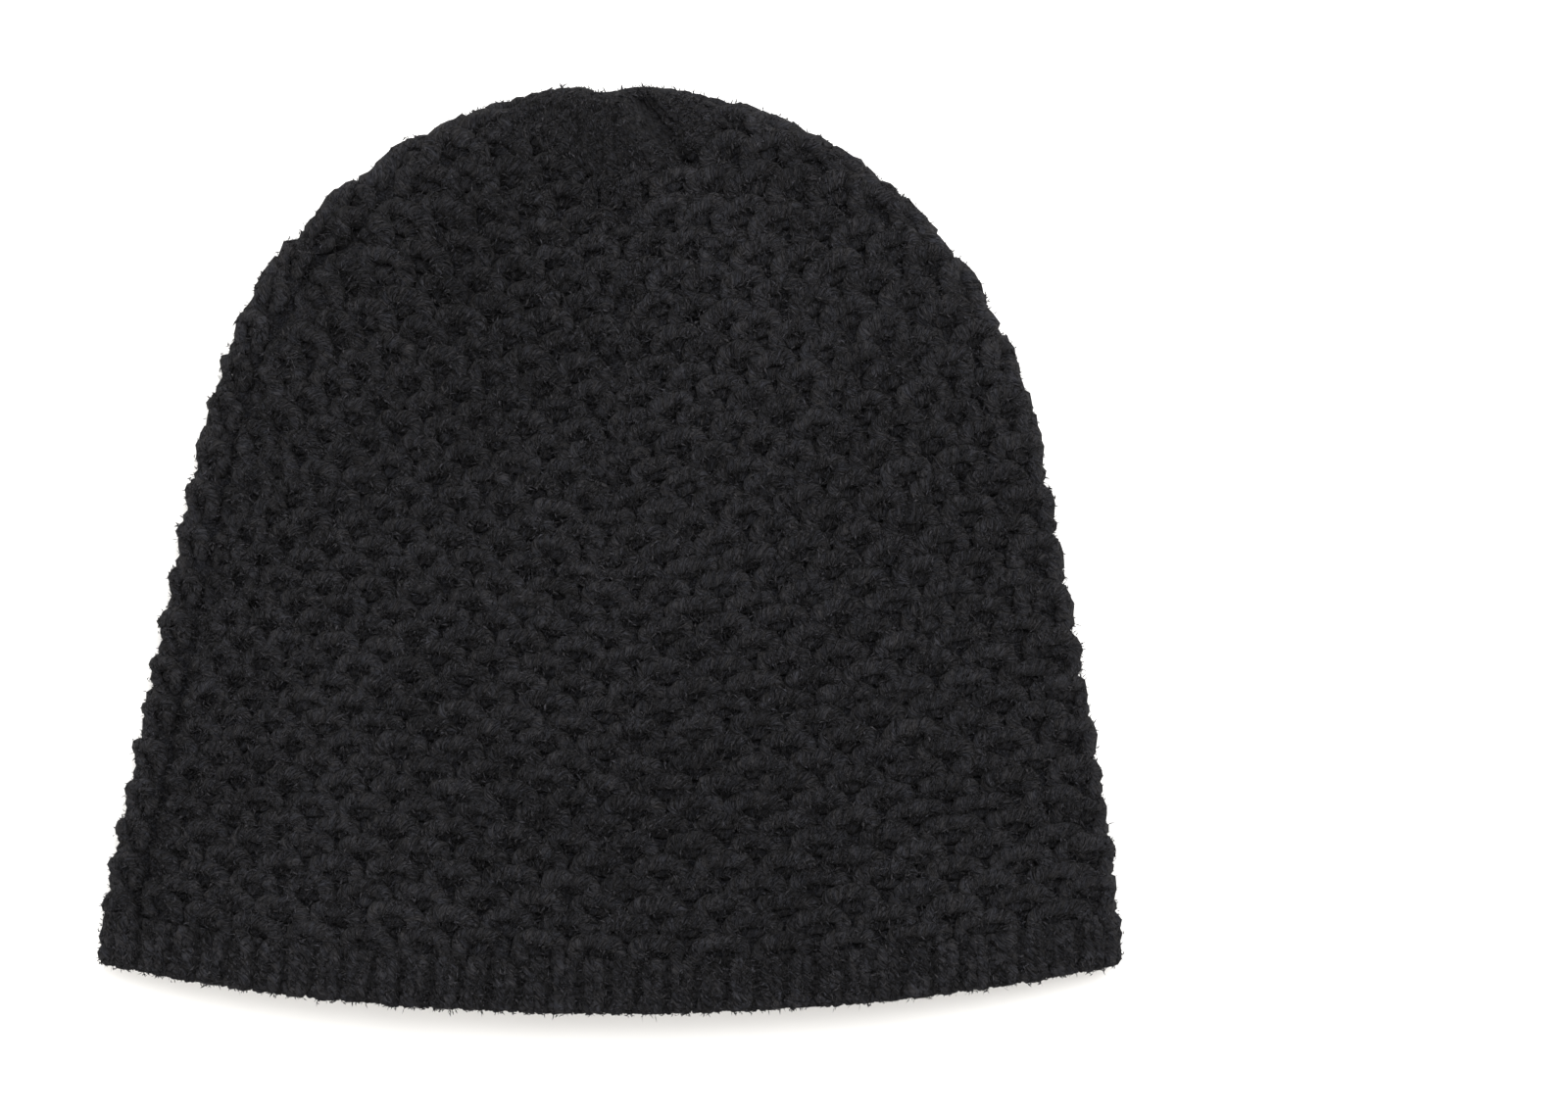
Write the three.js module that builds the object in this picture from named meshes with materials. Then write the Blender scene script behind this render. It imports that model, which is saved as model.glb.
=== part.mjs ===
// Knit skull cap lying flat on its back: a ribbed hem, a hollow two-layer body and a gathered crown.
// Millimetres. +X is the wearer's left as the cap lies (right in plan), +Y runs from the hem to the
// crown, +Z is up from the surface that the cap lies on. The lowest face is z = 0.
import * as THREE from "three";

// ---------------------------------------------------------------- driving dimensions
const WALL = 4.5; // thickness of the chunky tuck knit
const HEM_WALL = 4.0; // the rib border is a little thinner
const FOLD_RADIUS = 7; // outer radius of the folded side and crown edges
const DOME_RISE = 9; // how much higher the middle of the front layer is than its folded edge
const DOME_REACH = 70; // how far from the edge the front layer keeps rising
const HEM_HEIGHT = 11.5; // height of the rib border
const PIECE_GAP = 0.3; // gap between neighbouring pieces
const SEAM_INSET = 8; // the left side seam lies this far inside the left fold
const SEAM_DEPTH = 1.0;
const SEAM_WIDTH = 1.5;
const SEAM_FROM_Y = -86; // the seam is seen from just above the hem ...
const SEAM_TO_Y = 76; // ... to the shoulder of the crown

// Courses (rows of knitting) from the hem to the crown, as they lie.
// run: distance from the hem along the left fold. lx, ly and rx, ry: where the course meets the left
// and the right fold line. dip: how far its middle hangs below the line between those two points.
// bend: 2 for a round arc, towards 1 for a V with straight arms.
const COURSES = [
  { run: 0.0, lx: -115.4, ly: -94.3, rx: 115.2, ry: -94.8, dip: 10.2, bend: 2.0 },
  { run: 19.2, lx: -113.0, ly: -75.3, rx: 113.9, ry: -75.3, dip: 9.9, bend: 2.0 },
  { run: 41.8, lx: -108.4, ly: -53.2, rx: 111.0, ry: -53.2, dip: 9.5, bend: 2.0 },
  { run: 64.3, lx: -103.9, ly: -31.2, rx: 107.2, ry: -31.2, dip: 9.3, bend: 1.9 },
  { run: 86.9, lx: -99.4, ly: -9.1, rx: 102.9, ry: -9.1, dip: 10.6, bend: 1.8 },
  { run: 109.4, lx: -95.0, ly: 13.0, rx: 98.7, ry: 13.0, dip: 13.3, bend: 1.7 },
  { run: 132.2, lx: -89.2, ly: 35.1, rx: 93.6, ry: 35.1, dip: 18.1, bend: 1.6 },
  { run: 144.2, lx: -85.1, ly: 46.2, rx: 89.6, ry: 46.2, dip: 21.0, bend: 1.5 },
  { run: 156.2, lx: -80.0, ly: 57.2, rx: 83.8, ry: 57.2, dip: 24.3, bend: 1.45 },
  { run: 169.8, lx: -72.1, ly: 68.3, rx: 75.9, ry: 68.3, dip: 27.6, bend: 1.4 },
  { run: 185.8, lx: -60.5, ly: 79.3, rx: 65.4, ry: 79.5, dip: 29.2, bend: 1.35 },
  { run: 196.3, lx: -52.0, ly: 85.7, rx: 56.6, ry: 86.3, dip: 27.4, bend: 1.35 },
  { run: 206.4, lx: -43.2, ly: 91.5, rx: 48.0, ry: 91.9, dip: 23.9, bend: 1.4 },
  { run: 217.6, lx: -33.3, ly: 97.0, rx: 37.4, ry: 97.2, dip: 19.2, bend: 1.5 },
  { run: 228.9, lx: -22.9, ly: 101.2, rx: 26.6, ry: 101.0, dip: 15.5, bend: 1.6 },
  { run: 233.9, lx: -18.4, ly: 102.7, rx: 21.2, ry: 102.6, dip: 12.3, bend: 1.7 },
  { run: 238.0, lx: -14.6, ly: 103.8, rx: 17.3, ry: 103.6, dip: 8.9, bend: 1.8 },
  { run: 241.3, lx: -11.5, ly: 104.4, rx: 14.2, ry: 104.2, dip: 5.6, bend: 1.9 },
  { run: 243.8, lx: -9.0, ly: 104.7, rx: 11.8, ry: 104.6, dip: 2.9, bend: 2.0 },
];
const CROWN_RUN = 228.9; // the plain gathered knit starts at this course
const CLOSED_RUN = 246.0; // the crown is drawn shut here, along the top edge

// The top edge where the crown is drawn shut, from its left to its right end. The dip in the middle
// is the notch between the crown's two lobes.
const TOP_EDGE = [
  { x: -7.0, y: 104.8 },
  { x: -4.2, y: 104.3 },
  { x: -2.3, y: 103.2 },
  { x: 0.2, y: 103.8 },
  { x: 4.6, y: 104.8 },
  { x: 9.6, y: 104.8 },
];

// Folds pressed into, or standing out of, the front layer near the crown.
// depth is positive for a groove and negative for a ridge; reach is its half width.
const FOLDS = [
  { name: "main fold", x0: 6.5, y0: 101.0, x1: 18.2, y1: 87.1, depth: 2.4, reach: 2.8 },
  { name: "centre ridge", x0: 1.2, y0: 101.0, x1: 4.5, y1: 90.4, depth: -1.3, reach: 3.2 },
  { name: "notch fold", x0: -2.3, y0: 103.0, x1: -7.5, y1: 90.0, depth: 1.3, reach: 3.0 },
];

// Ring spacing, as courses in each piece.
const HEM_RINGS = [0, 0.5, 1];
const BODY_RINGS = 20;
const CROWN_RINGS = [0, 0.2, 0.4, 0.58, 0.73, 0.84, 0.92, 0.975, 1];
const FOLD_STEPS = [0, 22, 45, 68, 90]; // degrees round the fold where each ring has a point
const SEAM_STEPS = [-1.4, 0, 1.6]; // and either side of the seam groove
const MIDDLE_STEPS = 6; // then even steps from there to the middle of the front

// ---------------------------------------------------------------- courses in plan
const columns = Object.keys(COURSES[0]);

// Smooth values of every column at a given run, by cubic interpolation through the table.
function course(run) {
  const last = COURSES.length - 1;
  const r = THREE.MathUtils.clamp(run, COURSES[0].run, COURSES[last].run);
  let i = COURSES.findIndex((c) => c.run > r) - 1;
  if (i < 0) i = last - 1;
  const [a, b] = [COURSES[i], COURSES[i + 1]];
  const before = COURSES[Math.max(i - 1, 0)];
  const after = COURSES[Math.min(i + 2, last)];
  const h = b.run - a.run;
  const t = (r - a.run) / h;
  const row = {};
  for (const k of columns) {
    const slopeA = (b[k] - before[k]) / (b.run - before.run);
    const slopeB = (after[k] - a[k]) / (after.run - a.run);
    row[k] =
      (2 * t ** 3 - 3 * t ** 2 + 1) * a[k] +
      (t ** 3 - 2 * t ** 2 + t) * h * slopeA +
      (3 * t ** 2 - 2 * t ** 3) * b[k] +
      (t ** 3 - t ** 2) * h * slopeB;
  }
  return row;
}

const topEdge = new THREE.CatmullRomCurve3(
  TOP_EDGE.map((p) => new THREE.Vector3(p.x, p.y, 0)),
  false,
  "centripetal",
);

// Plan point at a run, and across from -1 (left fold) to 1 (right fold).
function plan(run, across) {
  const closing = THREE.MathUtils.clamp(
    (run - COURSES.at(-1).run) / (CLOSED_RUN - COURSES.at(-1).run),
    0,
    1,
  );
  const c = course(run);
  const f = (across + 1) / 2;
  const p = new THREE.Vector2(
    THREE.MathUtils.lerp(c.lx, c.rx, f),
    THREE.MathUtils.lerp(c.ly, c.ry, f) - c.dip * (1 - Math.abs(across) ** c.bend),
  );
  const shut = topEdge.getPoint(f);
  return p.lerp(new THREE.Vector2(shut.x, shut.y), closing);
}

// The folded edge, as two runs of points that meet at the notch.
const EDGE_STEP = 1.5;
function edge(side) {
  const points = [];
  for (let run = -30; run < CLOSED_RUN; run += EDGE_STEP) {
    if (run < 0) {
      // carried straight on below the hem, so that the hem corners have the same section
      const [a, b] = [plan(0, side), plan(EDGE_STEP, side)];
      points.push(a.clone().addScaledVector(b.sub(a), run / EDGE_STEP));
    } else points.push(plan(run, side));
  }
  const from = side < 0 ? 0 : 1;
  const notch = 0.4;
  for (let k = 0; k <= 20; k++) {
    const p = topEdge.getPoint(THREE.MathUtils.lerp(from, notch, k / 20));
    points.push(new THREE.Vector2(p.x, p.y));
  }
  return points;
}
const leftEdge = edge(-1);
const rightEdge = edge(1);

function distanceTo(points, p) {
  let best = Infinity;
  for (let i = 1; i < points.length; i++) {
    const [a, b] = [points[i - 1], points[i]];
    const abx = b.x - a.x;
    const aby = b.y - a.y;
    const t = THREE.MathUtils.clamp(
      ((p.x - a.x) * abx + (p.y - a.y) * aby) / (abx * abx + aby * aby || 1),
      0,
      1,
    );
    best = Math.min(best, Math.hypot(p.x - a.x - t * abx, p.y - a.y - t * aby));
  }
  return best;
}

// Distance from the folded edge, rounded where the two sides are equally near.
function inset(p) {
  const a = distanceTo(leftEdge, p);
  const b = distanceTo(rightEdge, p);
  if (a < 1e-6 || b < 1e-6) return 0;
  return (a ** -4 + b ** -4) ** -0.25;
}

function insetSlope(p) {
  const e = 0.05;
  const at = (dx, dy) => inset(new THREE.Vector2(p.x + dx, p.y + dy));
  return new THREE.Vector2(
    (at(e, 0) - at(-e, 0)) / (2 * e),
    (at(0, e) - at(0, -e)) / (2 * e),
  );
}

// ---------------------------------------------------------------- layers in height
const DOME_SLOPE = (2 * DOME_RISE) / DOME_REACH;
const DOME_ANGLE = Math.atan(DOME_SLOPE);
const ROUND_END = FOLD_RADIUS * (1 - Math.sin(DOME_ANGLE)); // the fold's arc ends here
const ROUND_TOP = FOLD_RADIUS * (1 + Math.cos(DOME_ANGLE));

function foldDepth(p) {
  let depth = 0;
  for (const f of FOLDS) {
    const a = new THREE.Vector2(f.x0, f.y0);
    const ab = new THREE.Vector2(f.x1, f.y1).sub(a);
    const t = THREE.MathUtils.clamp(p.clone().sub(a).dot(ab) / ab.lengthSq(), 0, 1);
    const off = p.distanceTo(a.addScaledVector(ab, t));
    depth += f.depth * Math.exp(-((off / f.reach) ** 2));
  }
  const ends =
    THREE.MathUtils.smoothstep(p.y, SEAM_FROM_Y - 6, SEAM_FROM_Y) *
    (1 - THREE.MathUtils.smoothstep(p.y, SEAM_TO_Y, SEAM_TO_Y + 8));
  const off = (distanceTo(leftEdge, p) - SEAM_INSET) / SEAM_WIDTH;
  return depth + (p.x < 0 ? SEAM_DEPTH * ends * Math.exp(-off * off) : 0);
}

// Outer point and outward normal of the front (layer 1) or back (layer -1) at a plan point.
function outer(p, layer, onEdge) {
  const d = onEdge ? 0 : inset(p);
  const slope = insetSlope(onEdge ? inward(p, 0.3) : p);
  const radial = FOLD_RADIUS - d;
  if (onEdge || (layer < 0 ? d < FOLD_RADIUS : d < ROUND_END)) {
    const rise = Math.sqrt(Math.max(FOLD_RADIUS ** 2 - radial ** 2, 0));
    const dent = layer > 0 ? foldDepth(p) * Math.min(d / ROUND_END, 1) : 0;
    return {
      point: new THREE.Vector3(p.x, p.y, FOLD_RADIUS + layer * rise - dent),
      normal: new THREE.Vector3(-slope.x * radial, -slope.y * radial, layer * rise).normalize(),
    };
  }
  if (layer < 0)
    return { point: new THREE.Vector3(p.x, p.y, 0), normal: new THREE.Vector3(0, 0, -1) };
  const e = Math.min(d - ROUND_END, DOME_REACH);
  const z = ROUND_TOP + DOME_SLOPE * (e - (e * e) / (2 * DOME_REACH));
  const s = DOME_SLOPE * (1 - e / DOME_REACH);
  return {
    point: new THREE.Vector3(p.x, p.y, z - foldDepth(p)),
    normal: new THREE.Vector3(-slope.x * s, -slope.y * s, 1).normalize(),
  };
}

// A point a little way in from the edge, square to it.
function inward(p, by) {
  const e = 0.4;
  let best = null;
  let most = -Infinity;
  for (let k = 0; k < 48; k++) {
    const a = (k / 48) * 2 * Math.PI;
    const q = new THREE.Vector2(p.x + e * Math.cos(a), p.y + e * Math.sin(a));
    if (!insideEdge(q)) continue;
    const d = inset(q);
    if (d > most) [most, best] = [d, q];
  }
  return best.sub(p).setLength(by).add(p);
}

const outlinePoints = [...leftEdge, ...[...rightEdge].reverse()];
function insideEdge(p) {
  let inside = false;
  for (let i = 0, j = outlinePoints.length - 1; i < outlinePoints.length; j = i++) {
    const [a, b] = [outlinePoints[i], outlinePoints[j]];
    if (a.y > p.y !== b.y > p.y && p.x < ((b.x - a.x) * (p.y - a.y)) / (b.y - a.y) + a.x)
      inside = !inside;
  }
  return inside;
}

// ---------------------------------------------------------------- rings and shells
// Places across a course where a ring has points: round each fold, by the seam, then evenly.
function ringPlaces(run) {
  const c = course(run);
  const half = Math.hypot((c.rx - c.lx) / 2, c.dip);
  const shrink = Math.min(1, half / 26);
  const near = [
    ...FOLD_STEPS.map((a) => FOLD_RADIUS * 1.02 * (1 - Math.cos(THREE.MathUtils.degToRad(a)))),
    ...SEAM_STEPS.map((s) => SEAM_INSET + 1.6 + s),
  ].map((s) => (s * shrink) / half);
  const start = near.at(-1);
  for (let k = 1; k <= MIDDLE_STEPS; k++) near.push(start + ((1 - start) * k) / MIDDLE_STEPS);
  const left = near.map((s) => s - 1);
  return [...left, ...left.slice(0, -1).reverse().map((s) => -s)];
}

// One ring of outer and inner points: along the front from left to right, then back underneath.
// A ring where two pieces meet is moved along the knitting, by move.
function ring(run, wall, move) {
  const places = ringPlaces(run);
  const shut = run >= CLOSED_RUN;
  const loop = [];
  const add = (s, layer) => {
    const onEdge = Math.abs(s) === 1 || shut;
    const { point, normal } = outer(plan(run, s), layer, onEdge);
    if (move) {
      const way = plan(run + 1, s).sub(plan(run - 1, s)).setLength(move);
      point.add(new THREE.Vector3(way.x, way.y, 0));
    }
    loop.push({ out: point, in: point.clone().addScaledVector(normal, -wall) });
  };
  for (const s of places) add(s, 1);
  for (const s of places.slice(1, -1).reverse()) add(s, -1);
  return loop;
}

// A closed shell through a list of runs. It is open at both ends, or shut at the last run.
function shell(runs, wall) {
  const joints = [HEM_HEIGHT, CROWN_RUN];
  const rings = runs.map((run, i) => {
    const away = i === 0 ? 1 : -1;
    return ring(run, wall, joints.includes(run) ? (away * JOINT_MOVE) / 2 : 0);
  });
  const n = rings[0].length;
  const position = [];
  const index = [];
  for (const side of ["out", "in"])
    for (const r of rings) for (const p of r) position.push(p[side].x, p[side].y, p[side].z);
  const at = (side, i, j) => (side * rings.length + i) * n + (j % n);
  const quad = (a, b, c, d) => index.push(a, b, c, a, c, d);
  for (let i = 0; i < rings.length - 1; i++)
    for (let j = 0; j < n; j++) {
      quad(at(0, i, j), at(0, i, j + 1), at(0, i + 1, j + 1), at(0, i + 1, j));
      quad(at(1, i, j + 1), at(1, i, j), at(1, i + 1, j), at(1, i + 1, j + 1));
    }
  const top = rings.length - 1;
  for (let j = 0; j < n; j++) {
    quad(at(0, 0, j), at(1, 0, j), at(1, 0, j + 1), at(0, 0, j + 1));
    if (runs[top] < CLOSED_RUN)
      quad(at(0, top, j), at(0, top, j + 1), at(1, top, j + 1), at(1, top, j));
  }
  const geometry = new THREE.BufferGeometry();
  geometry.setAttribute("position", new THREE.Float32BufferAttribute(position, 3));
  geometry.setIndex(index);
  geometry.computeVertexNormals();
  return geometry;
}

// The courses meet the knitting's direction at a slant, so pieces move apart by more than the gap.
const JOINT_MOVE = PIECE_GAP * 1.3;

function spread(from, to, fractions) {
  return fractions.map((f) => THREE.MathUtils.lerp(from, to, f));
}

// ---------------------------------------------------------------- pieces
const yarn = (color, roughness) =>
  new THREE.MeshStandardMaterial({ color, roughness, metalness: 0, side: THREE.FrontSide });

const hem = new THREE.Mesh(
  shell(spread(0, HEM_HEIGHT, HEM_RINGS), HEM_WALL),
  yarn(0x27272a, 0.96),
);
hem.name = "ribbed_hem";

const evenly = Array.from({ length: BODY_RINGS + 1 }, (_, k) => k / BODY_RINGS);
const body = new THREE.Mesh(
  shell(spread(HEM_HEIGHT, CROWN_RUN, evenly), WALL),
  yarn(0x252528, 0.95),
);
body.name = "knit_body";

const crown = new THREE.Mesh(
  shell(spread(CROWN_RUN, CLOSED_RUN, CROWN_RINGS), WALL),
  yarn(0x222225, 0.96),
);
crown.name = "gathered_crown";

const cap = new THREE.Group();
cap.name = "knit_skull_cap";
cap.add(hem, body, crown);

export default cap;
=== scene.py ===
# Knit skull cap lying flat: honeycomb stitches on both layers, rib border, side seam, gathered crown,
# loose fibres, plain pale floor, soft light and a camera looking straight down.
# Shapes are worked out in millimetres, in the CAD's frame, and become metres where a mesh is made.
import math

import bpy
import numpy as np
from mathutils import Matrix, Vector


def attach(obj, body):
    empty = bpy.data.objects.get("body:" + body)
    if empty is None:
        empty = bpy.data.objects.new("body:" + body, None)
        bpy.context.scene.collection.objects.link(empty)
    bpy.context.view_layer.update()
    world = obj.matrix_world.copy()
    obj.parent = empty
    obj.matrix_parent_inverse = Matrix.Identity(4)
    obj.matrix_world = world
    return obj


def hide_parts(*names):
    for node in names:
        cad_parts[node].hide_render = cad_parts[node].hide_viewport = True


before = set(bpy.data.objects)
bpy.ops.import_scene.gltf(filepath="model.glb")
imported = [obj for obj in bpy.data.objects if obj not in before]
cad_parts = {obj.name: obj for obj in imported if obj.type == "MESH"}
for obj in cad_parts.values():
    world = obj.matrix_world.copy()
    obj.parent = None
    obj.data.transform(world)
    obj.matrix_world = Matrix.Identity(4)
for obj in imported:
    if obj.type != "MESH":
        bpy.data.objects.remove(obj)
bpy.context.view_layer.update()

rng = np.random.default_rng(20)
MM = 0.001

# ------------------------------------------------------------------ the CAD's own driving sizes
FOLD_RADIUS = 7.0
DOME_RISE = 9.0
DOME_REACH = 70.0
HEM_WALL = 4.0
WALL = 4.5
HEM_HEIGHT = 11.5
CROWN_RUN = 228.9
CLOSED_RUN = 246.0
SEAM_INSET, SEAM_DEPTH, SEAM_WIDTH = 8.0, 1.0, 1.5
SEAM_FROM_Y, SEAM_TO_Y = -86.0, 76.0
SEAM_PULL, SEAM_PULL_WIDTH = 1.1, 1.1  # how much further the yarn is drawn in, on the seam line itself

# run, lx, ly, rx, ry, dip, bend: as in the CAD source
COURSES = np.array([
    (0.0, -115.4, -94.3, 115.2, -94.8, 10.2, 2.0),
    (19.2, -113.0, -75.3, 113.9, -75.3, 9.9, 2.0),
    (41.8, -108.4, -53.2, 111.0, -53.2, 9.5, 2.0),
    (64.3, -103.9, -31.2, 107.2, -31.2, 9.3, 1.9),
    (86.9, -99.4, -9.1, 102.9, -9.1, 10.6, 1.8),
    (109.4, -95.0, 13.0, 98.7, 13.0, 13.3, 1.7),
    (132.2, -89.2, 35.1, 93.6, 35.1, 18.1, 1.6),
    (144.2, -85.1, 46.2, 89.6, 46.2, 21.0, 1.5),
    (156.2, -80.0, 57.2, 83.8, 57.2, 24.3, 1.45),
    (169.8, -72.1, 68.3, 75.9, 68.3, 27.6, 1.4),
    (185.8, -60.5, 79.3, 65.4, 79.5, 29.2, 1.35),
    (196.3, -52.0, 85.7, 56.6, 86.3, 27.4, 1.35),
    (206.4, -43.2, 91.5, 48.0, 91.9, 23.9, 1.4),
    (217.6, -33.3, 97.0, 37.4, 97.2, 19.2, 1.5),
    (228.9, -22.9, 101.2, 26.6, 101.0, 15.5, 1.6),
    (233.9, -18.4, 102.7, 21.2, 102.6, 12.3, 1.7),
    (238.0, -14.6, 103.8, 17.3, 103.6, 8.9, 1.8),
    (241.3, -11.5, 104.4, 14.2, 104.2, 5.6, 1.9),
    (243.8, -9.0, 104.7, 11.8, 104.6, 2.9, 2.0),
])
TOP_EDGE = np.array([(-7.0, 104.8), (-4.2, 104.3), (-2.3, 103.2), (0.2, 103.8), (4.6, 104.8), (9.6, 104.8)])
NOTCH = 0.4
# x0, y0, x1, y1, depth (negative stands out), half width
FOLDS = [
    (6.8, 101.4, 16.4, 88.0, 4.4, 2.9),
    (1.5, 101.0, 10.0, 88.4, -1.9, 2.7),
    (-2.3, 103.0, -7.5, 90.0, 1.0, 3.0),
]


def unit(v):
    return v / np.maximum(np.linalg.norm(v, axis=-1, keepdims=True), 1e-9)


def smooth(x, low, high):
    t = np.clip((x - low) / (high - low), 0, 1)
    return t * t * (3 - 2 * t)


def course(run):
    t = COURSES
    r = np.clip(run, t[0, 0], t[-1, 0])
    i = np.clip(np.searchsorted(t[:, 0], r, side="right") - 1, 0, len(t) - 2)
    a, b = t[i], t[i + 1]
    before, after = t[np.maximum(i - 1, 0)], t[np.minimum(i + 2, len(t) - 1)]
    h = b[:, :1] - a[:, :1]
    x = (r[:, None] - a[:, :1]) / h
    sa = (b - before) / (b[:, :1] - before[:, :1])
    sb = (after - a) / (after[:, :1] - a[:, :1])
    return (
        (2 * x**3 - 3 * x**2 + 1) * a + (x**3 - 2 * x**2 + x) * h * sa
        + (3 * x**2 - 2 * x**3) * b + (x**3 - x**2) * h * sb
    )


def top_edge(f):
    """The edge along which the crown is drawn shut, by centripetal interpolation."""
    p = (len(TOP_EDGE) - 1) * np.clip(f, 0, 1)
    i = np.minimum(np.floor(p).astype(int), len(TOP_EDGE) - 2)
    w = (p - i)[:, None]
    padded = np.vstack([2 * TOP_EDGE[0] - TOP_EDGE[1], TOP_EDGE, 2 * TOP_EDGE[-1] - TOP_EDGE[-2]])
    p0, p1, p2, p3 = padded[i], padded[i + 1], padded[i + 2], padded[i + 3]
    d0, d1, d2 = (np.linalg.norm(b - a, axis=1, keepdims=True) ** 0.5 for a, b in ((p0, p1), (p1, p2), (p2, p3)))
    t1 = ((p1 - p0) / d0 - (p2 - p0) / (d0 + d1) + (p2 - p1) / d1) * d1
    t2 = ((p2 - p1) / d1 - (p3 - p1) / (d1 + d2) + (p3 - p2) / d2) * d1
    return p1 + t1 * w + (-3 * p1 + 3 * p2 - 2 * t1 - t2) * w**2 + (2 * p1 - 2 * p2 + t1 + t2) * w**3


def plan(run, across):
    """Plan points of the courses. Below the hem they run straight on."""
    run, across = (np.asarray(v, float).ravel() for v in np.broadcast_arrays(run, across))
    below = np.minimum(run, 0)

    def inside(run):
        c = course(run)
        f = (across + 1) / 2
        x = c[:, 1] + (c[:, 3] - c[:, 1]) * f
        y = c[:, 2] + (c[:, 4] - c[:, 2]) * f - c[:, 5] * (1 - np.abs(across) ** c[:, 6])
        closing = np.clip((run - COURSES[-1, 0]) / (CLOSED_RUN - COURSES[-1, 0]), 0, 1)[:, None]
        return np.stack([x, y], 1) * (1 - closing) + top_edge(f) * closing

    p = inside(np.maximum(run, 0))
    if (below < 0).any():
        step = (inside(np.full_like(run, 1.5)) - inside(np.zeros_like(run))) / 1.5
        p = p + step * below[:, None]
    return p


# ------------------------------------------------------------------ distance from the folded edge
def edge_line(side):
    runs = np.arange(-30, CLOSED_RUN, 1.5)
    shut = top_edge(np.linspace(0 if side < 0 else 1, NOTCH, 21))
    return np.vstack([plan(runs, float(side)), shut]), np.r_[runs, np.full(21, CLOSED_RUN)]


LEFT, LEFT_RUNS = edge_line(-1)
RIGHT, RIGHT_RUNS = edge_line(1)
GRID_X, GRID_Y = np.arange(-137.0, 138.0), np.arange(-130.0, 127.0)
gx, gy = np.meshgrid(GRID_X, GRID_Y, indexing="ij")


def distance_grid(line):
    best = np.full(gx.shape, 1e9)
    for (ax, ay), (bx, by) in zip(line[:-1], line[1:]):
        dx, dy = bx - ax, by - ay
        t = np.clip(((gx - ax) * dx + (gy - ay) * dy) / (dx * dx + dy * dy + 1e-12), 0, 1)
        best = np.minimum(best, (gx - ax - t * dx) ** 2 + (gy - ay - t * dy) ** 2)
    return np.sqrt(best)


def inside_grid():
    ring = np.vstack([LEFT, RIGHT[::-1]])
    found = np.zeros(gx.shape, bool)
    for a, b in zip(ring, np.roll(ring, -1, axis=0)):
        if a[1] == b[1]:
            continue
        spans = (a[1] > gy) != (b[1] > gy)
        found ^= spans & (gx < (b[0] - a[0]) * (gy - a[1]) / (b[1] - a[1]) + a[0])
    return found


to_left, to_right = distance_grid(LEFT), distance_grid(RIGHT)
within = inside_grid()
a_, b_ = np.maximum(to_left, 1e-3), np.maximum(to_right, 1e-3)
inset_grid = np.where(within, (a_**-4 + b_**-4) ** -0.25, -np.minimum(a_, b_))
inset_dx, inset_dy = np.gradient(inset_grid)


def sample(grids, q):
    x = np.clip(q[:, 0] - GRID_X[0], 0, len(GRID_X) - 1.001)
    y = np.clip(q[:, 1] - GRID_Y[0], 0, len(GRID_Y) - 1.001)
    i, j = x.astype(int), y.astype(int)
    s, t = x - i, y - j
    return [
        g[i, j] * (1 - s) * (1 - t) + g[i + 1, j] * s * (1 - t) + g[i, j + 1] * (1 - s) * t + g[i + 1, j + 1] * s * t
        for g in grids
    ]


# ------------------------------------------------------------------ surface of either layer
DOME_SLOPE = 2 * DOME_RISE / DOME_REACH
DOME_ANGLE = math.atan(DOME_SLOPE)
ROUND_END = FOLD_RADIUS * (1 - math.sin(DOME_ANGLE))
ROUND_TOP = FOLD_RADIUS * (1 + math.cos(DOME_ANGLE))
UNROLL = FOLD_RADIUS * (math.pi / 2 - DOME_ANGLE) - ROUND_END  # extra cloth that the fold takes up


def fold_depth(q, to_left_fold):
    depth = np.zeros(len(q))
    for x0, y0, x1, y1, deep, reach in FOLDS:
        a, ab = np.array([x0, y0]), np.array([x1 - x0, y1 - y0])
        t = np.clip((q - a) @ ab / (ab @ ab), 0, 1)
        off = np.linalg.norm(q - a - t[:, None] * ab, axis=1)
        depth += deep * np.exp(-((off / reach) ** 2))
    ends = smooth(q[:, 1], SEAM_FROM_Y - 6, SEAM_FROM_Y) * (1 - smooth(q[:, 1], SEAM_TO_Y, SEAM_TO_Y + 8))
    off = to_left_fold - SEAM_INSET
    line = SEAM_DEPTH * np.exp(-((off / SEAM_WIDTH) ** 2)) + SEAM_PULL * np.exp(-((off / SEAM_PULL_WIDTH) ** 2))
    return depth + np.where(q[:, 0] < 0, ends * line, 0)


def spread(q):
    """How far the yarn at the folds stands out beyond the CAD's edge."""
    y = q[:, 1]
    right = np.interp(y, [-105, -88, -60, -20, 25, 42, 60, 85, 98, 104], [0.2, 0.5, 0.6, 0.9, 0.9, 0.1, 0.1, 0.0, -0.3, 0.0])
    left = np.interp(y, [-105, -60, 30, 60, 72, 80, 90, 98, 104], [0.3, 0.3, 0.4, 0.8, 0.6, 1.0, 1.4, 0.1, 0.0])
    return np.where(q[:, 0] > 2, right, left)


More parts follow.
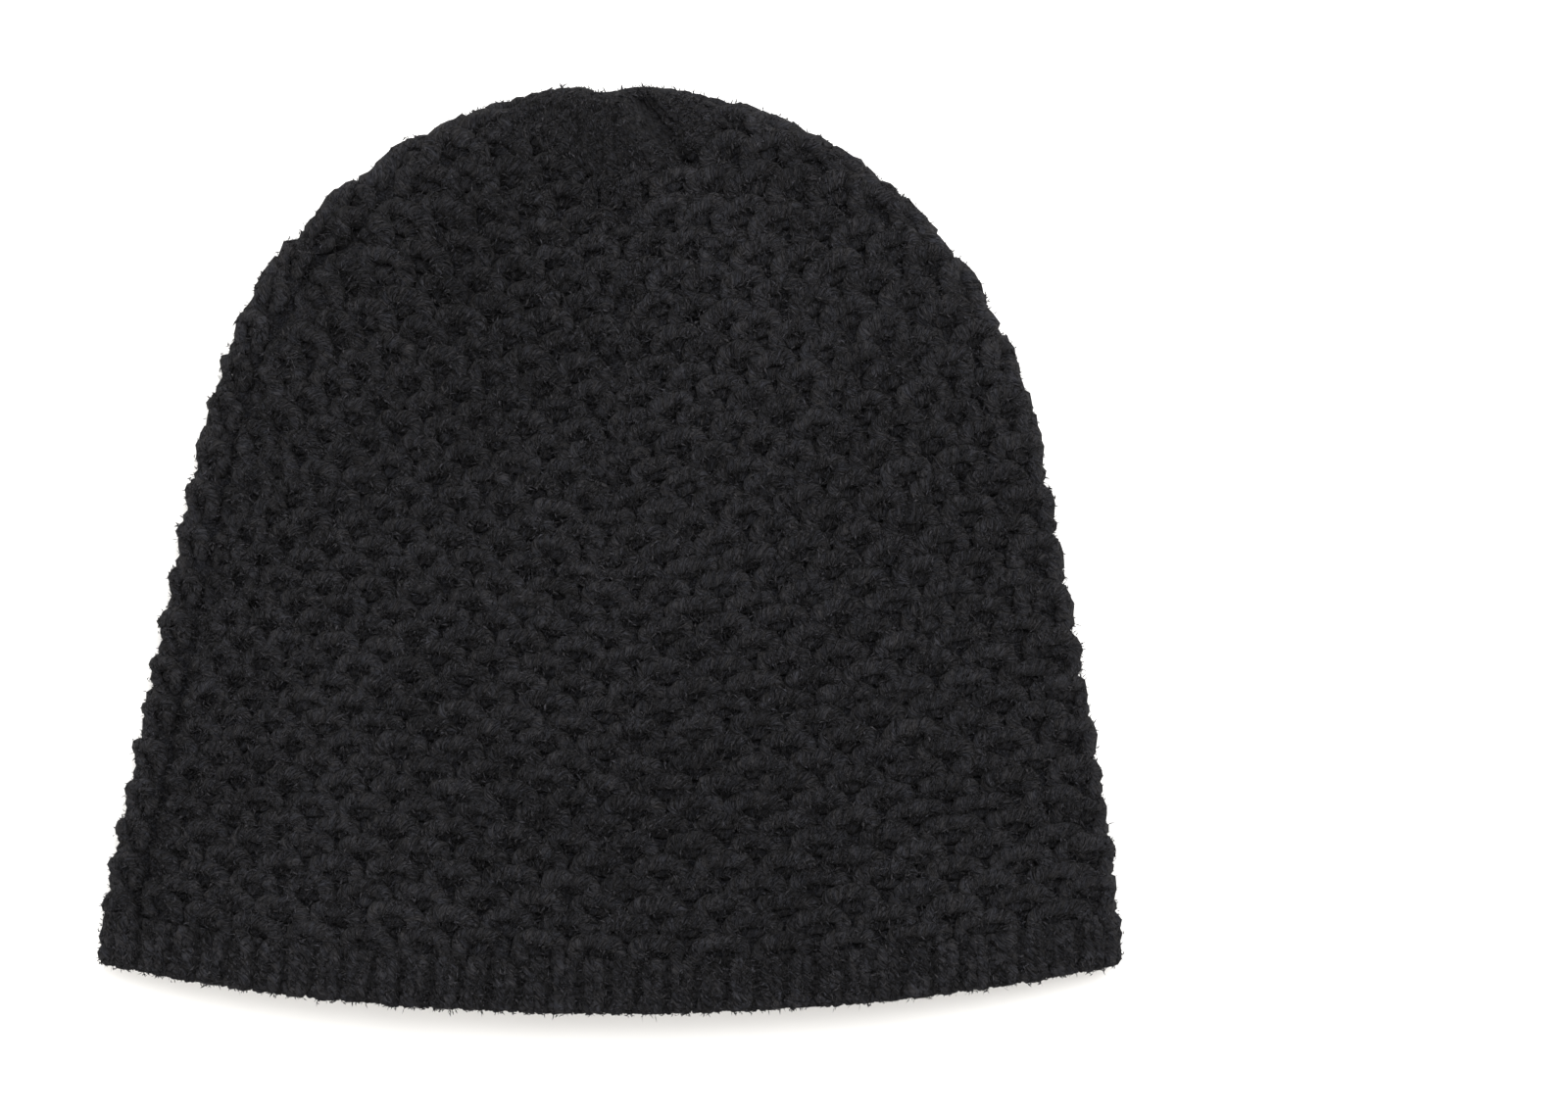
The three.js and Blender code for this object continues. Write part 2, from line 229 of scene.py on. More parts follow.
def surface(q, h, layer):
    """Points and outward normals at unrolled plan points q, h above the outer face, on the front (1) or back (-1)."""
    q = np.asarray(q, float)
    h = np.broadcast_to(np.asarray(h, float), len(q))
    d, nx, ny, left = sample((inset_grid, inset_dx, inset_dy, to_left), q)
    g = np.stack([nx, ny], 1)
    n = unit(g)
    theta = (d + UNROLL) / FOLD_RADIUS
    arc = d < ROUND_END if layer > 0 else theta < math.pi / 2
    theta = np.clip(theta, -0.7, math.pi / 2)
    centre = q + n * (FOLD_RADIUS - d)[:, None]
    c, s = np.cos(theta), np.sin(theta)
    dent = fold_depth(q, left) if layer > 0 else np.zeros(len(q))
    arc_xy = centre - n * ((FOLD_RADIUS + h + spread(q)) * c)[:, None]
    arc_z = FOLD_RADIUS + layer * (FOLD_RADIUS + h) * s - dent * np.clip(theta / 1.2, 0, 1)
    arc_n = np.column_stack([-n * c[:, None], layer * s])
    if layer > 0:
        e = np.clip(d - ROUND_END, 0, DOME_REACH)
        slope = DOME_SLOPE * (1 - e / DOME_REACH)
        flat_n = unit(np.column_stack([-g * slope[:, None], np.ones(len(q))]))
        flat_z = ROUND_TOP + DOME_SLOPE * (e - e * e / (2 * DOME_REACH)) - dent
    else:
        flat_n = np.tile([0.0, 0.0, -1.0], (len(q), 1))
        flat_z = np.zeros(len(q))
    flat = np.column_stack([q, flat_z]) + flat_n * h[:, None]
    arc_p = np.column_stack([arc_xy, arc_z])
    return np.where(arc[:, None], arc_p, flat), np.where(arc[:, None], arc_n, flat_n)


# ------------------------------------------------------------------ where the stitches lie
# Position in the honeycomb: u counts pairs of wales across, v counts pairs of courses towards the hem.
# x and y are plan places as shares of about half the cap's width and height.
V_SHARED = (11.28, 0.381, 0.056, -0.091, -0.367)  # y, y^2 ..
V_SIDE = (((-1.253, 0.74, -2.12, 2.848), (0.341, -1.136, -0.423, 2.288)),
          ((2.624, -4.955, 2.041, 0.298), (-0.725, 2.443, -1.299, 0.804)))  # side, power of x 1 and 2, power of y 0..3
U_SIDE = (((8.422, -0.792, -0.842, 1.392), (-1.646, -0.264, 4.224, -2.84)),
          ((8.279, -0.232, -1.896, 1.903), (0.36, -0.636, -0.968, 0.696)))
U_CUT = ((-5.149, 1.158), (3.042, 0.491))  # wales lost above the middle, by t^2 and t^3
# power of x, power of y, and what is taken off u + v and u - v
SHIFT = (
    (0, 0, 0.259, 0.338), (0, 1, -0.106, -0.157), (0, 2, -1.170, 1.315), (0, 3, 1.742, -2.003),
    (0, 4, -0.588, -0.098), (0, 5, -0.191, 0.858), (1, 0, -0.152, -0.934), (1, 1, 2.818, 0.427),
    (1, 2, -3.579, -1.124), (1, 3, 0.255, 3.018), (1, 4, 0.229, -1.852), (2, 0, -0.326, -0.152),
    (2, 1, 0.835, -1.068), (2, 2, -1.263, 0.505), (2, 3, 1.683, 0.622), (3, 0, -0.717, 2.335),
    (3, 1, -1.927, 1.685), (3, 2, 2.205, -2.410), (4, 0, 0.657, 0.428), (4, 1, -1.393, 0.401),
    (5, 0, 0.885, -2.286),
)
# side: for t^2, t^2 x, t^3, t^3 x above the middle, off u + v and off u - v
SHIFT_TOP = (((1.885, 1.156), (10.585, 10.794), (1.448, -4.123), (-6.389, -4.174)),
             ((-0.103, -4.9), (10.594, 7.514), (2.824, 2.277), (-2.586, -1.582)))


def chart_within(q, side):
    """u and v at plan points well inside the outline, on the left (0) or right (1) of the middle."""
    x, y = (q[:, 0] - 2.762) / 110.47, -(q[:, 1] + 0.22) / 99.43
    x, y = np.clip(x, -1.13, 1.11), np.clip(y, -1.08, 1.1)
    v = sum(c * y ** (k + 1) for k, c in enumerate(V_SHARED))
    u = 0 * x
    for a in (0, 1):
        for b in range(4):
            v = v + V_SIDE[side][a][b] * x ** (a + 1) * y**b
            u = u + U_SIDE[side][a][b] * x ** (a + 1) * y**b
    t = np.maximum(-y, 0)
    u = u + U_CUT[side][0] * t**2 + U_CUT[side][1] * t**3
    add, less = u + v, u - v
    for a, b, p, r in SHIFT:
        add, less = add - p * x**a * y**b, less - r * x**a * y**b
    for (p, r), f in zip(SHIFT_TOP[side], (t**2, t**2 * x, t**3, t**3 * x)):
        add, less = add - p * f, less - r * f
    return (add + less) / 2, (add - less) / 2


def jacobian(q, side, of=None):
    of = of or chart
    e = 0.4
    u0, v0 = of(q - [e, 0], side)
    u1, v1 = of(q + [e, 0], side)
    u2, v2 = of(q - [0, e], side)
    u3, v3 = of(q + [0, e], side)
    return (np.array([[u1 - u0, u3 - u2], [v1 - v0, v3 - v2]]) / (2 * e)).transpose(2, 0, 1)


def chart(q, side):
    """u and v anywhere: near the folds and beyond them the stitches run straight on from further in."""
    d, nx, ny, left = sample((inset_grid, inset_dx, inset_dy, to_left), q)
    n = unit(np.stack([nx, ny], 1))
    trust = 8.0 + 13.0 * smooth(q[:, 1], 30, 75)
    back = np.maximum(trust - d, 0)
    inner = q + n * back[:, None]
    u, v = chart_within(inner, side)
    near = back > 0
    if near.any():
        j = jacobian(inner[near], side, chart_within)
        move = (q - inner)[near]
        u, v = u.copy(), v.copy()
        u[near] += (j[:, 0] * move).sum(1)
        v[near] += (j[:, 1] * move).sum(1)
    return u, v


# The middle line, where the crown's decreases meet: plan y and x, from above
MITRE = np.array([(104, 0.4), (84.6, 3.0), (74.0, 3.4), (62.5, 3.9), (50.2, 2.8), (38.9, 1.7), (25.6, 0.0),
                  (11.0, -0.3), (0.0, -1.0), (-20, 2.762), (-130, 2.762)])
MITRE_FROM_Y = 7.0


def mitre_x(y):
    return np.interp(-y, -MITRE[:, 0], MITRE[:, 1])


lattices = {}


def lattice(side):
    """Every honeycomb cell on one side: plan place, u, v and the plan steps for one u and one v."""
    if side in lattices:
        return lattices[side]
    add, less = np.meshgrid(np.arange(-24, 25), np.arange(-24, 25), indexing="ij")
    u, v = (add + less).ravel() / 2.0, (add - less).ravel() / 2.0
    q = np.column_stack([2.762 + u / 8.4 * 110.47, -v / 11.3 * 99.43])
    for _ in range(30):
        uu, vv = chart(q, side)
        step = np.linalg.solve(jacobian(q, side) + 1e-6 * np.eye(2), np.stack([u - uu, v - vv], 1)[:, :, None])[:, :, 0]
        size = np.linalg.norm(step, axis=1, keepdims=True)
        q = q + step * np.minimum(1, 8 / np.maximum(size, 1e-9))
        q = np.clip(q, [-128, -115], [128, 112])
    uu, vv = chart(q, side)
    ok = (np.abs(u - uu) < 0.02) & (np.abs(v - vv) < 0.02) & (np.abs(np.linalg.det(jacobian(q, side))) > 1e-3)
    x = mitre_x(q[:, 1])
    ok &= (q[:, 0] < x + 0.5) if side == 0 else (q[:, 0] >= x - 0.5)
    ways = np.linalg.inv(jacobian(q[ok], side))
    lattices[side] = q[ok], u[ok], v[ok], ways
    return lattices[side]


def hem_y(x):
    c = COURSES[0]
    a = 2 * (x - c[1]) / (c[3] - c[1]) - 1
    return c[2] + (c[4] - c[2]) * (a + 1) / 2 - c[5] * (1 - np.abs(a) ** c[6])


def crown_y(x):
    c = course(np.array([CROWN_RUN]))[0]
    a = 2 * (x - c[1]) / (c[3] - c[1]) - 1
    y = c[2] + (c[4] - c[2]) * (a + 1) / 2 - c[5] * (1 - np.minimum(np.abs(a), 1) ** c[6])
    return np.where(np.abs(a) < 1.2, y, 200.0)


def inset_of(q):
    d, nx, ny, left = sample((inset_grid, inset_dx, inset_dy, to_left), q)
    return d, unit(np.stack([nx, ny], 1)), left


# One cell: a rounded arch of yarn and a small loop that shows inside it. Across and along are shares of a
# pair of wales and a pair of courses from the cell's hole; height is that of the yarn's middle, in mm.
ARCH = np.array([
    (-0.30, 0.36, -3.9), (-0.342, 0.15, -2.7), (-0.358, -0.07, -1.85), (-0.325, -0.255, -1.55), (-0.18, -0.352, -1.43),
    (0.0, -0.370, -1.4), (0.18, -0.352, -1.43), (0.325, -0.255, -1.55), (0.358, -0.07, -1.85), (0.342, 0.15, -2.7), (0.30, 0.36, -3.9),
])
LOOP = np.array([
    (-0.25, 0.09, -4.1), (-0.18, -0.05, -3.45), (0.0, -0.11, -3.2), (0.18, -0.05, -3.45), (0.25, 0.09, -4.1),
])
FOLD_LOOP = np.array([
    (-0.32, 0.26, -3.5), (-0.2, 0.14, -2.85), (0.0, 0.09, -2.6), (0.2, 0.14, -2.85), (0.32, 0.26, -3.5),
])
ARCH_FLAT, LOOP_FLAT = 0.78, 0.65  # the pressed yarn: height over width
ARCH_YARN, LOOP_YARN = 1.82, 1.9


def catmull(points, count):
    """A smooth curve through (N, K, D) points, sampled at count places."""
    k = points.shape[1]
    t = np.linspace(0, k - 1, count)
    i = np.minimum(t.astype(int), k - 2)
    w = (t - i)[None, :, None]
    pad = np.concatenate([2 * points[:, :1] - points[:, 1:2], points, 2 * points[:, -1:] - points[:, -2:-1]], 1)
    p0, p1, p2, p3 = pad[:, i], pad[:, i + 1], pad[:, i + 2], pad[:, i + 3]
    return 0.5 * (2 * p1 + (p2 - p0) * w + (2 * p0 - 5 * p1 + 4 * p2 - p3) * w**2 + (3 * p1 - p0 - 3 * p2 + p3) * w**3)


PITCH = 13.3  # mm from one cell to the next in a course, near the folds
SEAM_S = SEAM_INSET + UNROLL
HEM_CLEAR = 10.6
MITRE_CLEAR = 4.6


def fit_row(q, ways, s, seam, odd):
    """Cells of one course from the fold inwards: those near the fold and the seam are moved and made
    wider or narrower so that they fill the cloth. Gives centres, row steps, widths, legs and the width of
    a cell that straddles the fold (0 where there is none)."""
    gap = np.linalg.norm(np.diff(q, axis=0), axis=1)
    at = np.r_[0, np.cumsum(gap)]
    if s[0] < 0:
        k = np.nonzero(s < 0)[0].max()
        if k + 1 >= len(s):
            return None
        zero = at[k] - s[k] / (s[k + 1] - s[k]) * gap[k]
    else:
        zero = at[0] - s[0] * gap[0] / max(s[1] - s[0], 0.45 * gap[0])
    at = at - zero
    inner = [k for k in range(len(s)) if at[k] > 0]
    if len(inner) < 2:
        return None
    first = at[inner[0]]
    width = gap[min(inner[0], len(gap) - 1)]
    out, across = [], 0.0  # out: (middle, width, leg)
    rim = 0.70 * width  # where the outermost full cell of a course lies
    k = min(inner[0], len(gap) - 1)
    if (gap[k] > 1.3 * max(s[k + 1] - s[k], 1e-3) or q[inner[0], 1] > 22) and not seam:  # it meets the fold on a slant
        keep = [j for j in range(len(s)) if s[j] > -1.5]
        pitch = np.linalg.norm(ways[keep][:, :, 0], axis=1)
        return q[keep], ways[keep][:, :, 0].copy(), ways[keep][:, :, 1], np.ones(len(keep)), np.where(s[keep] < 9, 1.0, 0.0), 0.0
    beside = first > rim - 0.25 * width and first < rim + 0.25 * width
    if seam:
        k = min(inner[0], len(gap) - 1)
        seam_at = SEAM_S * gap[k] / max(s[k + 1] - s[k], 0.6 * gap[k])
        if odd:
            out.append(((2.6 + seam_at) / 2, seam_at - 2.6, 1.0))
        else:
            across = 1.15
        out += [(at[k], None, 2.0 if at[k] < seam_at + 0.6 * width else 0.0) for k in inner if at[k] > seam_at + 0.3]
    elif beside:
        end = first + width / 2
        out.append(((1.5 + end) / 2, end - 1.5, 1.0))
        out += [(at[k], None, 0.0) for k in inner[1:]]
    else:
        if first < rim:
            inner = inner[1:]
        first = at[inner[0]]
        half_across = float(np.clip(first - width / 2, 5.0, 8.6))
        across = 2 * half_across / PITCH
        out.append(((half_across + first + width / 2) / 2, first + width / 2 - half_across, 0.0))
        out += [(at[k], None, 0.0) for k in inner[1:]]
    if not out:
        return None
    c = np.array([o[0] for o in out])
    legs = np.array([o[2] for o in out])
    # places along the row, straight on beyond its ends
    where = np.column_stack([np.interp(c, at, q[:, 0]), np.interp(c, at, q[:, 1])])
    before = c < at[0]
    if before.any():
        where[before] = q[0] + (c[before, None] - at[0]) * (q[1] - q[0]) / gap[0]
    near = np.abs(at[None] - c[:, None]).argmin(1)
    wu, wv = ways[near][:, :, 0].copy(), ways[near][:, :, 1]
    pitch = np.linalg.norm(wu, axis=1)
    widths = np.array([1.0 if o[1] is None else o[1] / p for o, p in zip(out, pitch)])
    return where, wu, wv, widths, legs, across


STRIP_FROM_Y, STRIP_TO_Y, STRIP_STEP = -92.0, 86.0, 10.0
STRIP_Y = (-81.3, -72.5, -64.3, -56.1, -46.6, -37.2, -28.3, -18.3, -8.4, 1.5)  # holes of the lower cells beside the seam


def strip_places():
    """Places on the left fold for the cells between it and the seam, and between each two of those."""
    line = LEFT[(LEFT[:, 1] > STRIP_FROM_Y) & (LEFT[:, 1] < STRIP_TO_Y + 6)]
    at = np.r_[0, np.cumsum(np.linalg.norm(np.diff(line, axis=0), axis=1))]
    first = np.interp(STRIP_Y, line[:, 1], at)
    spots = np.r_[first, np.arange(first[-1] + STRIP_STEP, np.interp(STRIP_TO_Y, line[:, 1], at), STRIP_STEP)]
    spots = np.insert(spots[1:], np.arange(len(spots) - 1), (spots[1:] + spots[:-1]) / 2)
    spots = np.r_[first[0], spots]
    o = np.column_stack([np.interp(spots, at, line[:, 0]), np.interp(spots, at, line[:, 1])])
    t = unit(np.column_stack([np.interp(spots + 1, at, line[:, 0]), np.interp(spots + 1, at, line[:, 1])]) - o)
    return o, inset_of(o + 0.01)[1], t


def collect_cells(layer):
    """The cells of one layer, as arrays: place, steps for one pair of wales and of courses, width, leg."""
    cells = {k: [] for k in ("q", "wu", "wv", "wide", "leg")}
    fold = {k: [] for k in ("o", "n", "t", "across", "along", "wide")}
    for side, line, runs in ((0, LEFT, LEFT_RUNS), (1, RIGHT, RIGHT_RUNS)):
        q, u, v, ways = lattice(side)
        d, n, left = inset_of(q)
        s = d + UNROLL
        pitch = np.linalg.norm(ways[:, :, 0], axis=1)
        rise = np.linalg.norm(ways[:, :, 1], axis=1)
        sound = (pitch > 7) & (pitch < 20) & (rise > 4.5) & (rise < 14) & (s > -16)
        edge_keep = (runs > 3) & (line[:, 1] < 104.5)
        pts, r = line[edge_keep], runs[edge_keep]
        _, edge_v = chart(pts, side)
        edge_ways = np.linalg.pinv(jacobian(pts, side))
        row_of = np.round(2 * v).astype(int)
        for row in np.unique(row_of[sound]):
            pick = np.nonzero(sound & (row_of == row))[0]
            pick = pick[np.argsort(np.abs(q[pick, 0] - 2.0))[::-1]]
            if len(pick) < 2:
                continue
            rq, rw, rs = q[pick], ways[pick], s[pick]
            seam = side == 0 and layer > 0 and SEAM_FROM_Y - 6 < rq[0, 1] < SEAM_TO_Y - 2
            fitted = fit_row(rq, rw, rs, seam, row % 2 == 1)
            if fitted is None:
                where, wu, wv, widths, legs, across = rq, rw[:, :, 0], rw[:, :, 1], np.ones(len(rq)), np.zeros(len(rq)), 0.0
                inside_ = rs > 5
                where, wu, wv, widths, legs = (a[inside_] for a in (where, wu, wv, widths, legs))
            else:
                where, wu, wv, widths, legs, across = fitted
            for k in range(len(where)):
                p = where[k].copy()
                step = np.linalg.norm(wv[k])
                apex = p - 0.45 * wv[k]
                if p[1] < hem_y(p[0]) + HEM_CLEAR or apex[1] > crown_y(apex[0]) + 1.5:
                    continue
                wide = widths[k] * np.interp(p[1], [10, 40], [1.0, 0.93])
                off = p[0] - mitre_x(p[1])
                if layer > 0 and side == 0 and STRIP_FROM_Y < p[1] < STRIP_TO_Y and inset_of(p[None])[0][0] < SEAM_INSET + 0.6:
                    continue
                if p[1] > MITRE_FROM_Y:
                    if abs(off) < 2.4 or (side == 0) != (off < 0):
                        continue
                    if abs(off) < MITRE_CLEAR:
                        p[0] += math.copysign(MITRE_CLEAR - abs(off), off)
                        wide = wide * 0.85
                elif (side == 0) != (off < 0):
                    continue
                if legs[k] == 1.0 and side == 1:
                    p = p - 0.16 * wv[k]
                for key, value in zip(cells, (p, wu[k], wv[k], wide, legs[k] * (-1.0 if side == 0 else 1.0))):
                    cells[key].append(value)
            if across > 0 and layer > 0:
                want = row / 2.0
                order = np.argsort(edge_v)
                if not edge_v.min() < want < edge_v.max():
                    continue
                at = np.interp(want, edge_v[order], r[order])
                o = np.array([np.interp(at, r, pts[:, 0]), np.interp(at, r, pts[:, 1])])
                if o[1] < hem_y(np.clip(o[0], -115, 115)) + HEM_CLEAR + 0.5 or at > CROWN_RUN - 1:
                    continue
                if side == 0 and STRIP_FROM_Y < o[1] < STRIP_TO_Y:
                    continue
                k = int(np.argmin(np.abs(r - at)))
                t = pts[max(k - 1, 0)] - pts[min(k + 1, len(pts) - 1)]
                fold["o"].append(o)
                fold["n"].append(inset_of(o[None])[1][0])
                fold["t"].append(t / np.linalg.norm(t))
                fold["across"].append(PITCH)
                fold["along"].append(np.clip(np.linalg.norm(edge_ways[k][:, 1]), 6.5, 10.5))
                fold["wide"].append(across)
    if layer > 0:
        for k, (o, n, t) in enumerate(zip(*strip_places())):
            if k % 2 == 0:
                for key, value in zip(cells, (o + n * (6.3 - UNROLL), n * 10.6, -t * 9.0, 0.9, -1.0)):
                    cells[key].append(value)
            else:
                for key, value in zip(fold, (o, n, t, PITCH, 8.0, 1.0)):
                    fold[key].append(value)
    return {k: np.array(v) for k, v in cells.items()}, {k: np.array(v) for k, v in fold.items()}


# ------------------------------------------------------------------ tubes of yarn
TWIST = 1.05  # turns of the fibres round the yarn, radians a mm
pieces_made = []


# Painted light and shade: soft spots where the wool is painted darker or lighter to stand in for how the light falls
# over the cap; centre x, y and reach in mm, and how much darker (negative) or lighter the wool is painted there
PAINTED_LIGHT_SPOTS = [
    (-32.0, 58.0, 27.0, -0.15), (-5.0, 86.0, 11.0, -0.12), (26.0, 68.0, 30.0, 0.05), (78.0, 2.0, 28.0, -0.08),
    (-15.0, -66.0, 30.0, -0.08), (40.0, -64.0, 34.0, -0.08),
]


def painted_light_and_shade(p):
    """Painted light and shade on the wool: darker and lighter spots where the light falls unevenly over the cap, a
    painted highlight along the rim and painted shade in the seam's crease; p: (..., 2 or 3) in mm.
    """
    d, _, left = (v.reshape(*p.shape[:-1], -1) for v in inset_of(p[..., :2].reshape(-1, 2)))
    # painted highlight: the wool is painted paler within a few mm of the outline, standing in for the sheen of the nap
    # at the rim
    total = 0.16 * np.exp(-((np.clip(d[..., 0], 0, None) / 3.8) ** 2))
    # painted shade: the wool is painted darker along the seam's crease
    seam = np.exp(-(((left[..., 0] - SEAM_INSET) / 1.1) ** 2)) * (p[..., 0] < 0)
    total = total - 0.2 * seam * smooth(p[..., 1], SEAM_FROM_Y - 4, SEAM_FROM_Y) * (1 - smooth(p[..., 1], SEAM_TO_Y - 10, SEAM_TO_Y))
    # painted light and shade from the soft spots listed above
    for x, y, reach, amount in PAINTED_LIGHT_SPOTS:
        total = total + amount * np.exp(-((p[..., 0] - x) ** 2 + (p[..., 1] - y) ** 2) / reach**2)
    return total


class Yarn:
    """Many tubes, gathered into one mesh."""

    def __init__(self):
        self.parts = []
        self.roots = []

    def add(self, points, normals, radius, sides, tone=0.0, flat=1.0, ply=0.09, rough=0.075, lumps=0.08, floor=None, cap=0.55):
        """points and normals: (N, S, 3); radius: a number, (N,) or (N, S)."""
        n, s, _ = points.shape
        if n == 0:
            return
        radius = np.asarray(radius, float)
        if radius.ndim == 1:
            radius = radius[:, None]
        radius = radius * (1 + lumps * rng.normal(0, 1, (n, s)).clip(-2, 2))
        radius[:, 0] *= cap
        radius[:, -1] *= cap
        tangent = unit(np.gradient(points, axis=1))
        across = unit(np.cross(tangent, normals))
        up = np.cross(across, tangent)
        length = np.concatenate([np.zeros((n, 1)), np.cumsum(np.linalg.norm(np.diff(points, axis=1), axis=2), 1)], 1)
        phi = 2 * np.pi * np.arange(sides) / sides
        start = rng.uniform(0, 2 * np.pi, (n, 1, 1))
        turned = phi[None, None, :] - TWIST * length[:, :, None] + start
        r = radius[:, :, None] * (1 + ply * np.cos(2 * turned) + rough * rng.normal(0, 1, turned.shape).clip(-2, 2))
        ring = (
            points[:, :, None, :]
            + across[:, :, None, :] * (r * np.cos(phi))[..., None]
            + up[:, :, None, :] * (flat * r * np.sin(phi))[..., None]
        )
        if floor is not None:
            ring[..., 2] = np.maximum(ring[..., 2], floor)
        ends = np.stack([
            points[:, 0] - tangent[:, 0] * radius[:, 0, None] * 0.7,
            points[:, -1] + tangent[:, -1] * radius[:, -1, None] * 0.7,
        ], 1)
        if floor is not None:
            ends[..., 2] = np.maximum(ends[..., 2], floor)
        seed = rng.uniform(-400, 400, (n, 3))
        fibre = np.stack([1.4 * np.cos(turned), 1.4 * np.sin(turned), np.broadcast_to(length[:, :, None], turned.shape)], -1)
        fibre = fibre + seed[:, None, None, :]
        end_fibre = np.stack([
            np.column_stack([seed[:, 0], seed[:, 1], seed[:, 2]]),
            np.column_stack([seed[:, 0], seed[:, 1], seed[:, 2] + length[:, -1]]),
        ], 1)
        tone = np.asarray(tone, float)
        # each yarn's tone: its own random tone plus the painted light and shade (rim highlight, shaded spots, seam
        # crease shade)
        tone = np.broadcast_to(tone[:, None] if tone.ndim == 1 else tone, (n, s)) + rng.normal(0, 0.07, (n, s)) + painted_light_and_shade(points)
        self.parts.append((ring, ends, fibre, end_fibre, tone))
        facing = unit(ring - points[:, :, None, :])
        self.roots.append((ring.reshape(-1, 3), facing.reshape(-1, 3)))

    def triangles(self):
        return sum(p[0].shape[0] * (2 * p[0].shape[2] * (p[0].shape[1] - 1) + 2 * p[0].shape[2]) for p in self.parts)

    def mesh(self, name):
        verts, fibres, tones, quads, tris, quad_uv, tri_uv = [], [], [], [], [], [], []
        total = sum(p[0].shape[0] for p in self.parts)
        cols = max(1, int(math.ceil(math.sqrt(total / 2.2))))
        rows = int(math.ceil(total / cols))
        base, cell = 0, 0
        for ring, ends, fibre, end_fibre, tone in self.parts:
            n, s, m, _ = ring.shape
            verts += [ring.reshape(-1, 3), ends.reshape(-1, 3)]
            fibres += [fibre.reshape(-1, 3), end_fibre.reshape(-1, 3)]
            tones += [np.repeat(tone.ravel(), m), tone[:, [0, -1]].ravel()]
            t, i, j = np.meshgrid(np.arange(n), np.arange(s - 1), np.arange(m), indexing="ij")
            at = lambda i, j: base + (t * s + i) * m + (j % m)
            quads.append(np.stack([at(i, j), at(i, j + 1), at(i + 1, j + 1), at(i + 1, j)], -1).reshape(-1, 4))
            spot = cell + np.arange(n)
            ox, oy = (spot % cols)[:, None, None], (spot // cols)[:, None, None]
            place = lambda i, j: np.stack(np.broadcast_arrays(
                (ox + 0.04 + 0.92 * j / m) / cols, (oy + 0.04 + 0.92 * (i + 1) / (s + 1)) / rows), -1)
            quad_uv.append(np.stack([place(i, j), place(i, j + 1), place(i + 1, j + 1), place(i + 1, j)], -2).reshape(-1, 4, 2))
            t, j = np.meshgrid(np.arange(n), np.arange(m), indexing="ij")
            first = base + n * s * m
            ring_at = lambda i, j: base + (t * s + i) * m + (j % m)
            low = np.stack([first + 2 * t, ring_at(0, j + 1), ring_at(0, j)], -1)
            high = np.stack([first + 2 * t + 1, ring_at(s - 1, j), ring_at(s - 1, j + 1)], -1)
            tris.append(np.concatenate([low.reshape(-1, 3), high.reshape(-1, 3)]))
            ox2, oy2 = (spot % cols)[:, None], (spot // cols)[:, None]
            put = lambda i, j: np.stack(np.broadcast_arrays(
                (ox2 + 0.04 + 0.92 * j / m) / cols, (oy2 + 0.04 + 0.92 * i / (s + 1)) / rows), -1)
            tri_uv.append(np.concatenate([
                np.stack([put(0, j + 0.5), put(1, j + 1), put(1, j)], -2).reshape(-1, 3, 2),
                np.stack([put(s + 1, j + 0.5), put(s, j), put(s, j + 1)], -2).reshape(-1, 3, 2),
            ]))
            base += n * s * m + 2 * n
            cell += n
        return build(
            name, np.concatenate(verts), np.concatenate(quads), np.concatenate(tris),
            np.concatenate(fibres), np.concatenate(tones), np.concatenate(quad_uv), np.concatenate(tri_uv))


def build(name, verts, quads, tris, fibre, tone, quad_uv, tri_uv):
    """A smooth-shaded mesh object from arrays, in metres."""
    mesh = bpy.data.meshes.new(name)
    mesh.vertices.add(len(verts))
    mesh.vertices.foreach_set("co", (verts * MM).astype(np.float32).ravel())
    corners = np.concatenate([quads.ravel(), tris.ravel()]).astype(np.int32)
    mesh.loops.add(len(corners))
    mesh.loops.foreach_set("vertex_index", corners)
    mesh.polygons.add(len(quads) + len(tris))
    starts = np.concatenate([4 * np.arange(len(quads)), 4 * len(quads) + 3 * np.arange(len(tris))]).astype(np.int32)
    mesh.polygons.foreach_set("loop_start", starts)
    mesh.polygons.foreach_set("use_smooth", np.ones(len(starts), bool))
    mesh.update(calc_edges=True)
    uv = mesh.uv_layers.new(name="OFBake")
    uv.uv.foreach_set("vector", np.concatenate([quad_uv.reshape(-1, 2), tri_uv.reshape(-1, 2)]).astype(np.float32).ravel())
    mesh.attributes.new("fibre", "FLOAT_VECTOR", "POINT").data.foreach_set("vector", fibre.astype(np.float32).ravel())
    # tone: random wool tone together with the painted light and shade
    mesh.attributes.new("tone", "FLOAT", "POINT").data.foreach_set("value", tone.astype(np.float32))
    ob = bpy.data.objects.new(name, mesh)
    bpy.context.scene.collection.objects.link(ob)
    print(f"{name}: {2 * len(quads) + len(tris)} triangles")
    return ob


def cell_sizes(cells):
    """How thick the yarn is in each cell, about 1."""
    u, v = cells["wu"], cells["wv"]
    return np.clip(np.sqrt(np.abs(u[:, 0] * v[:, 1] - u[:, 1] * v[:, 0]) / 111.0), 0.92, 1.2)


depths = []


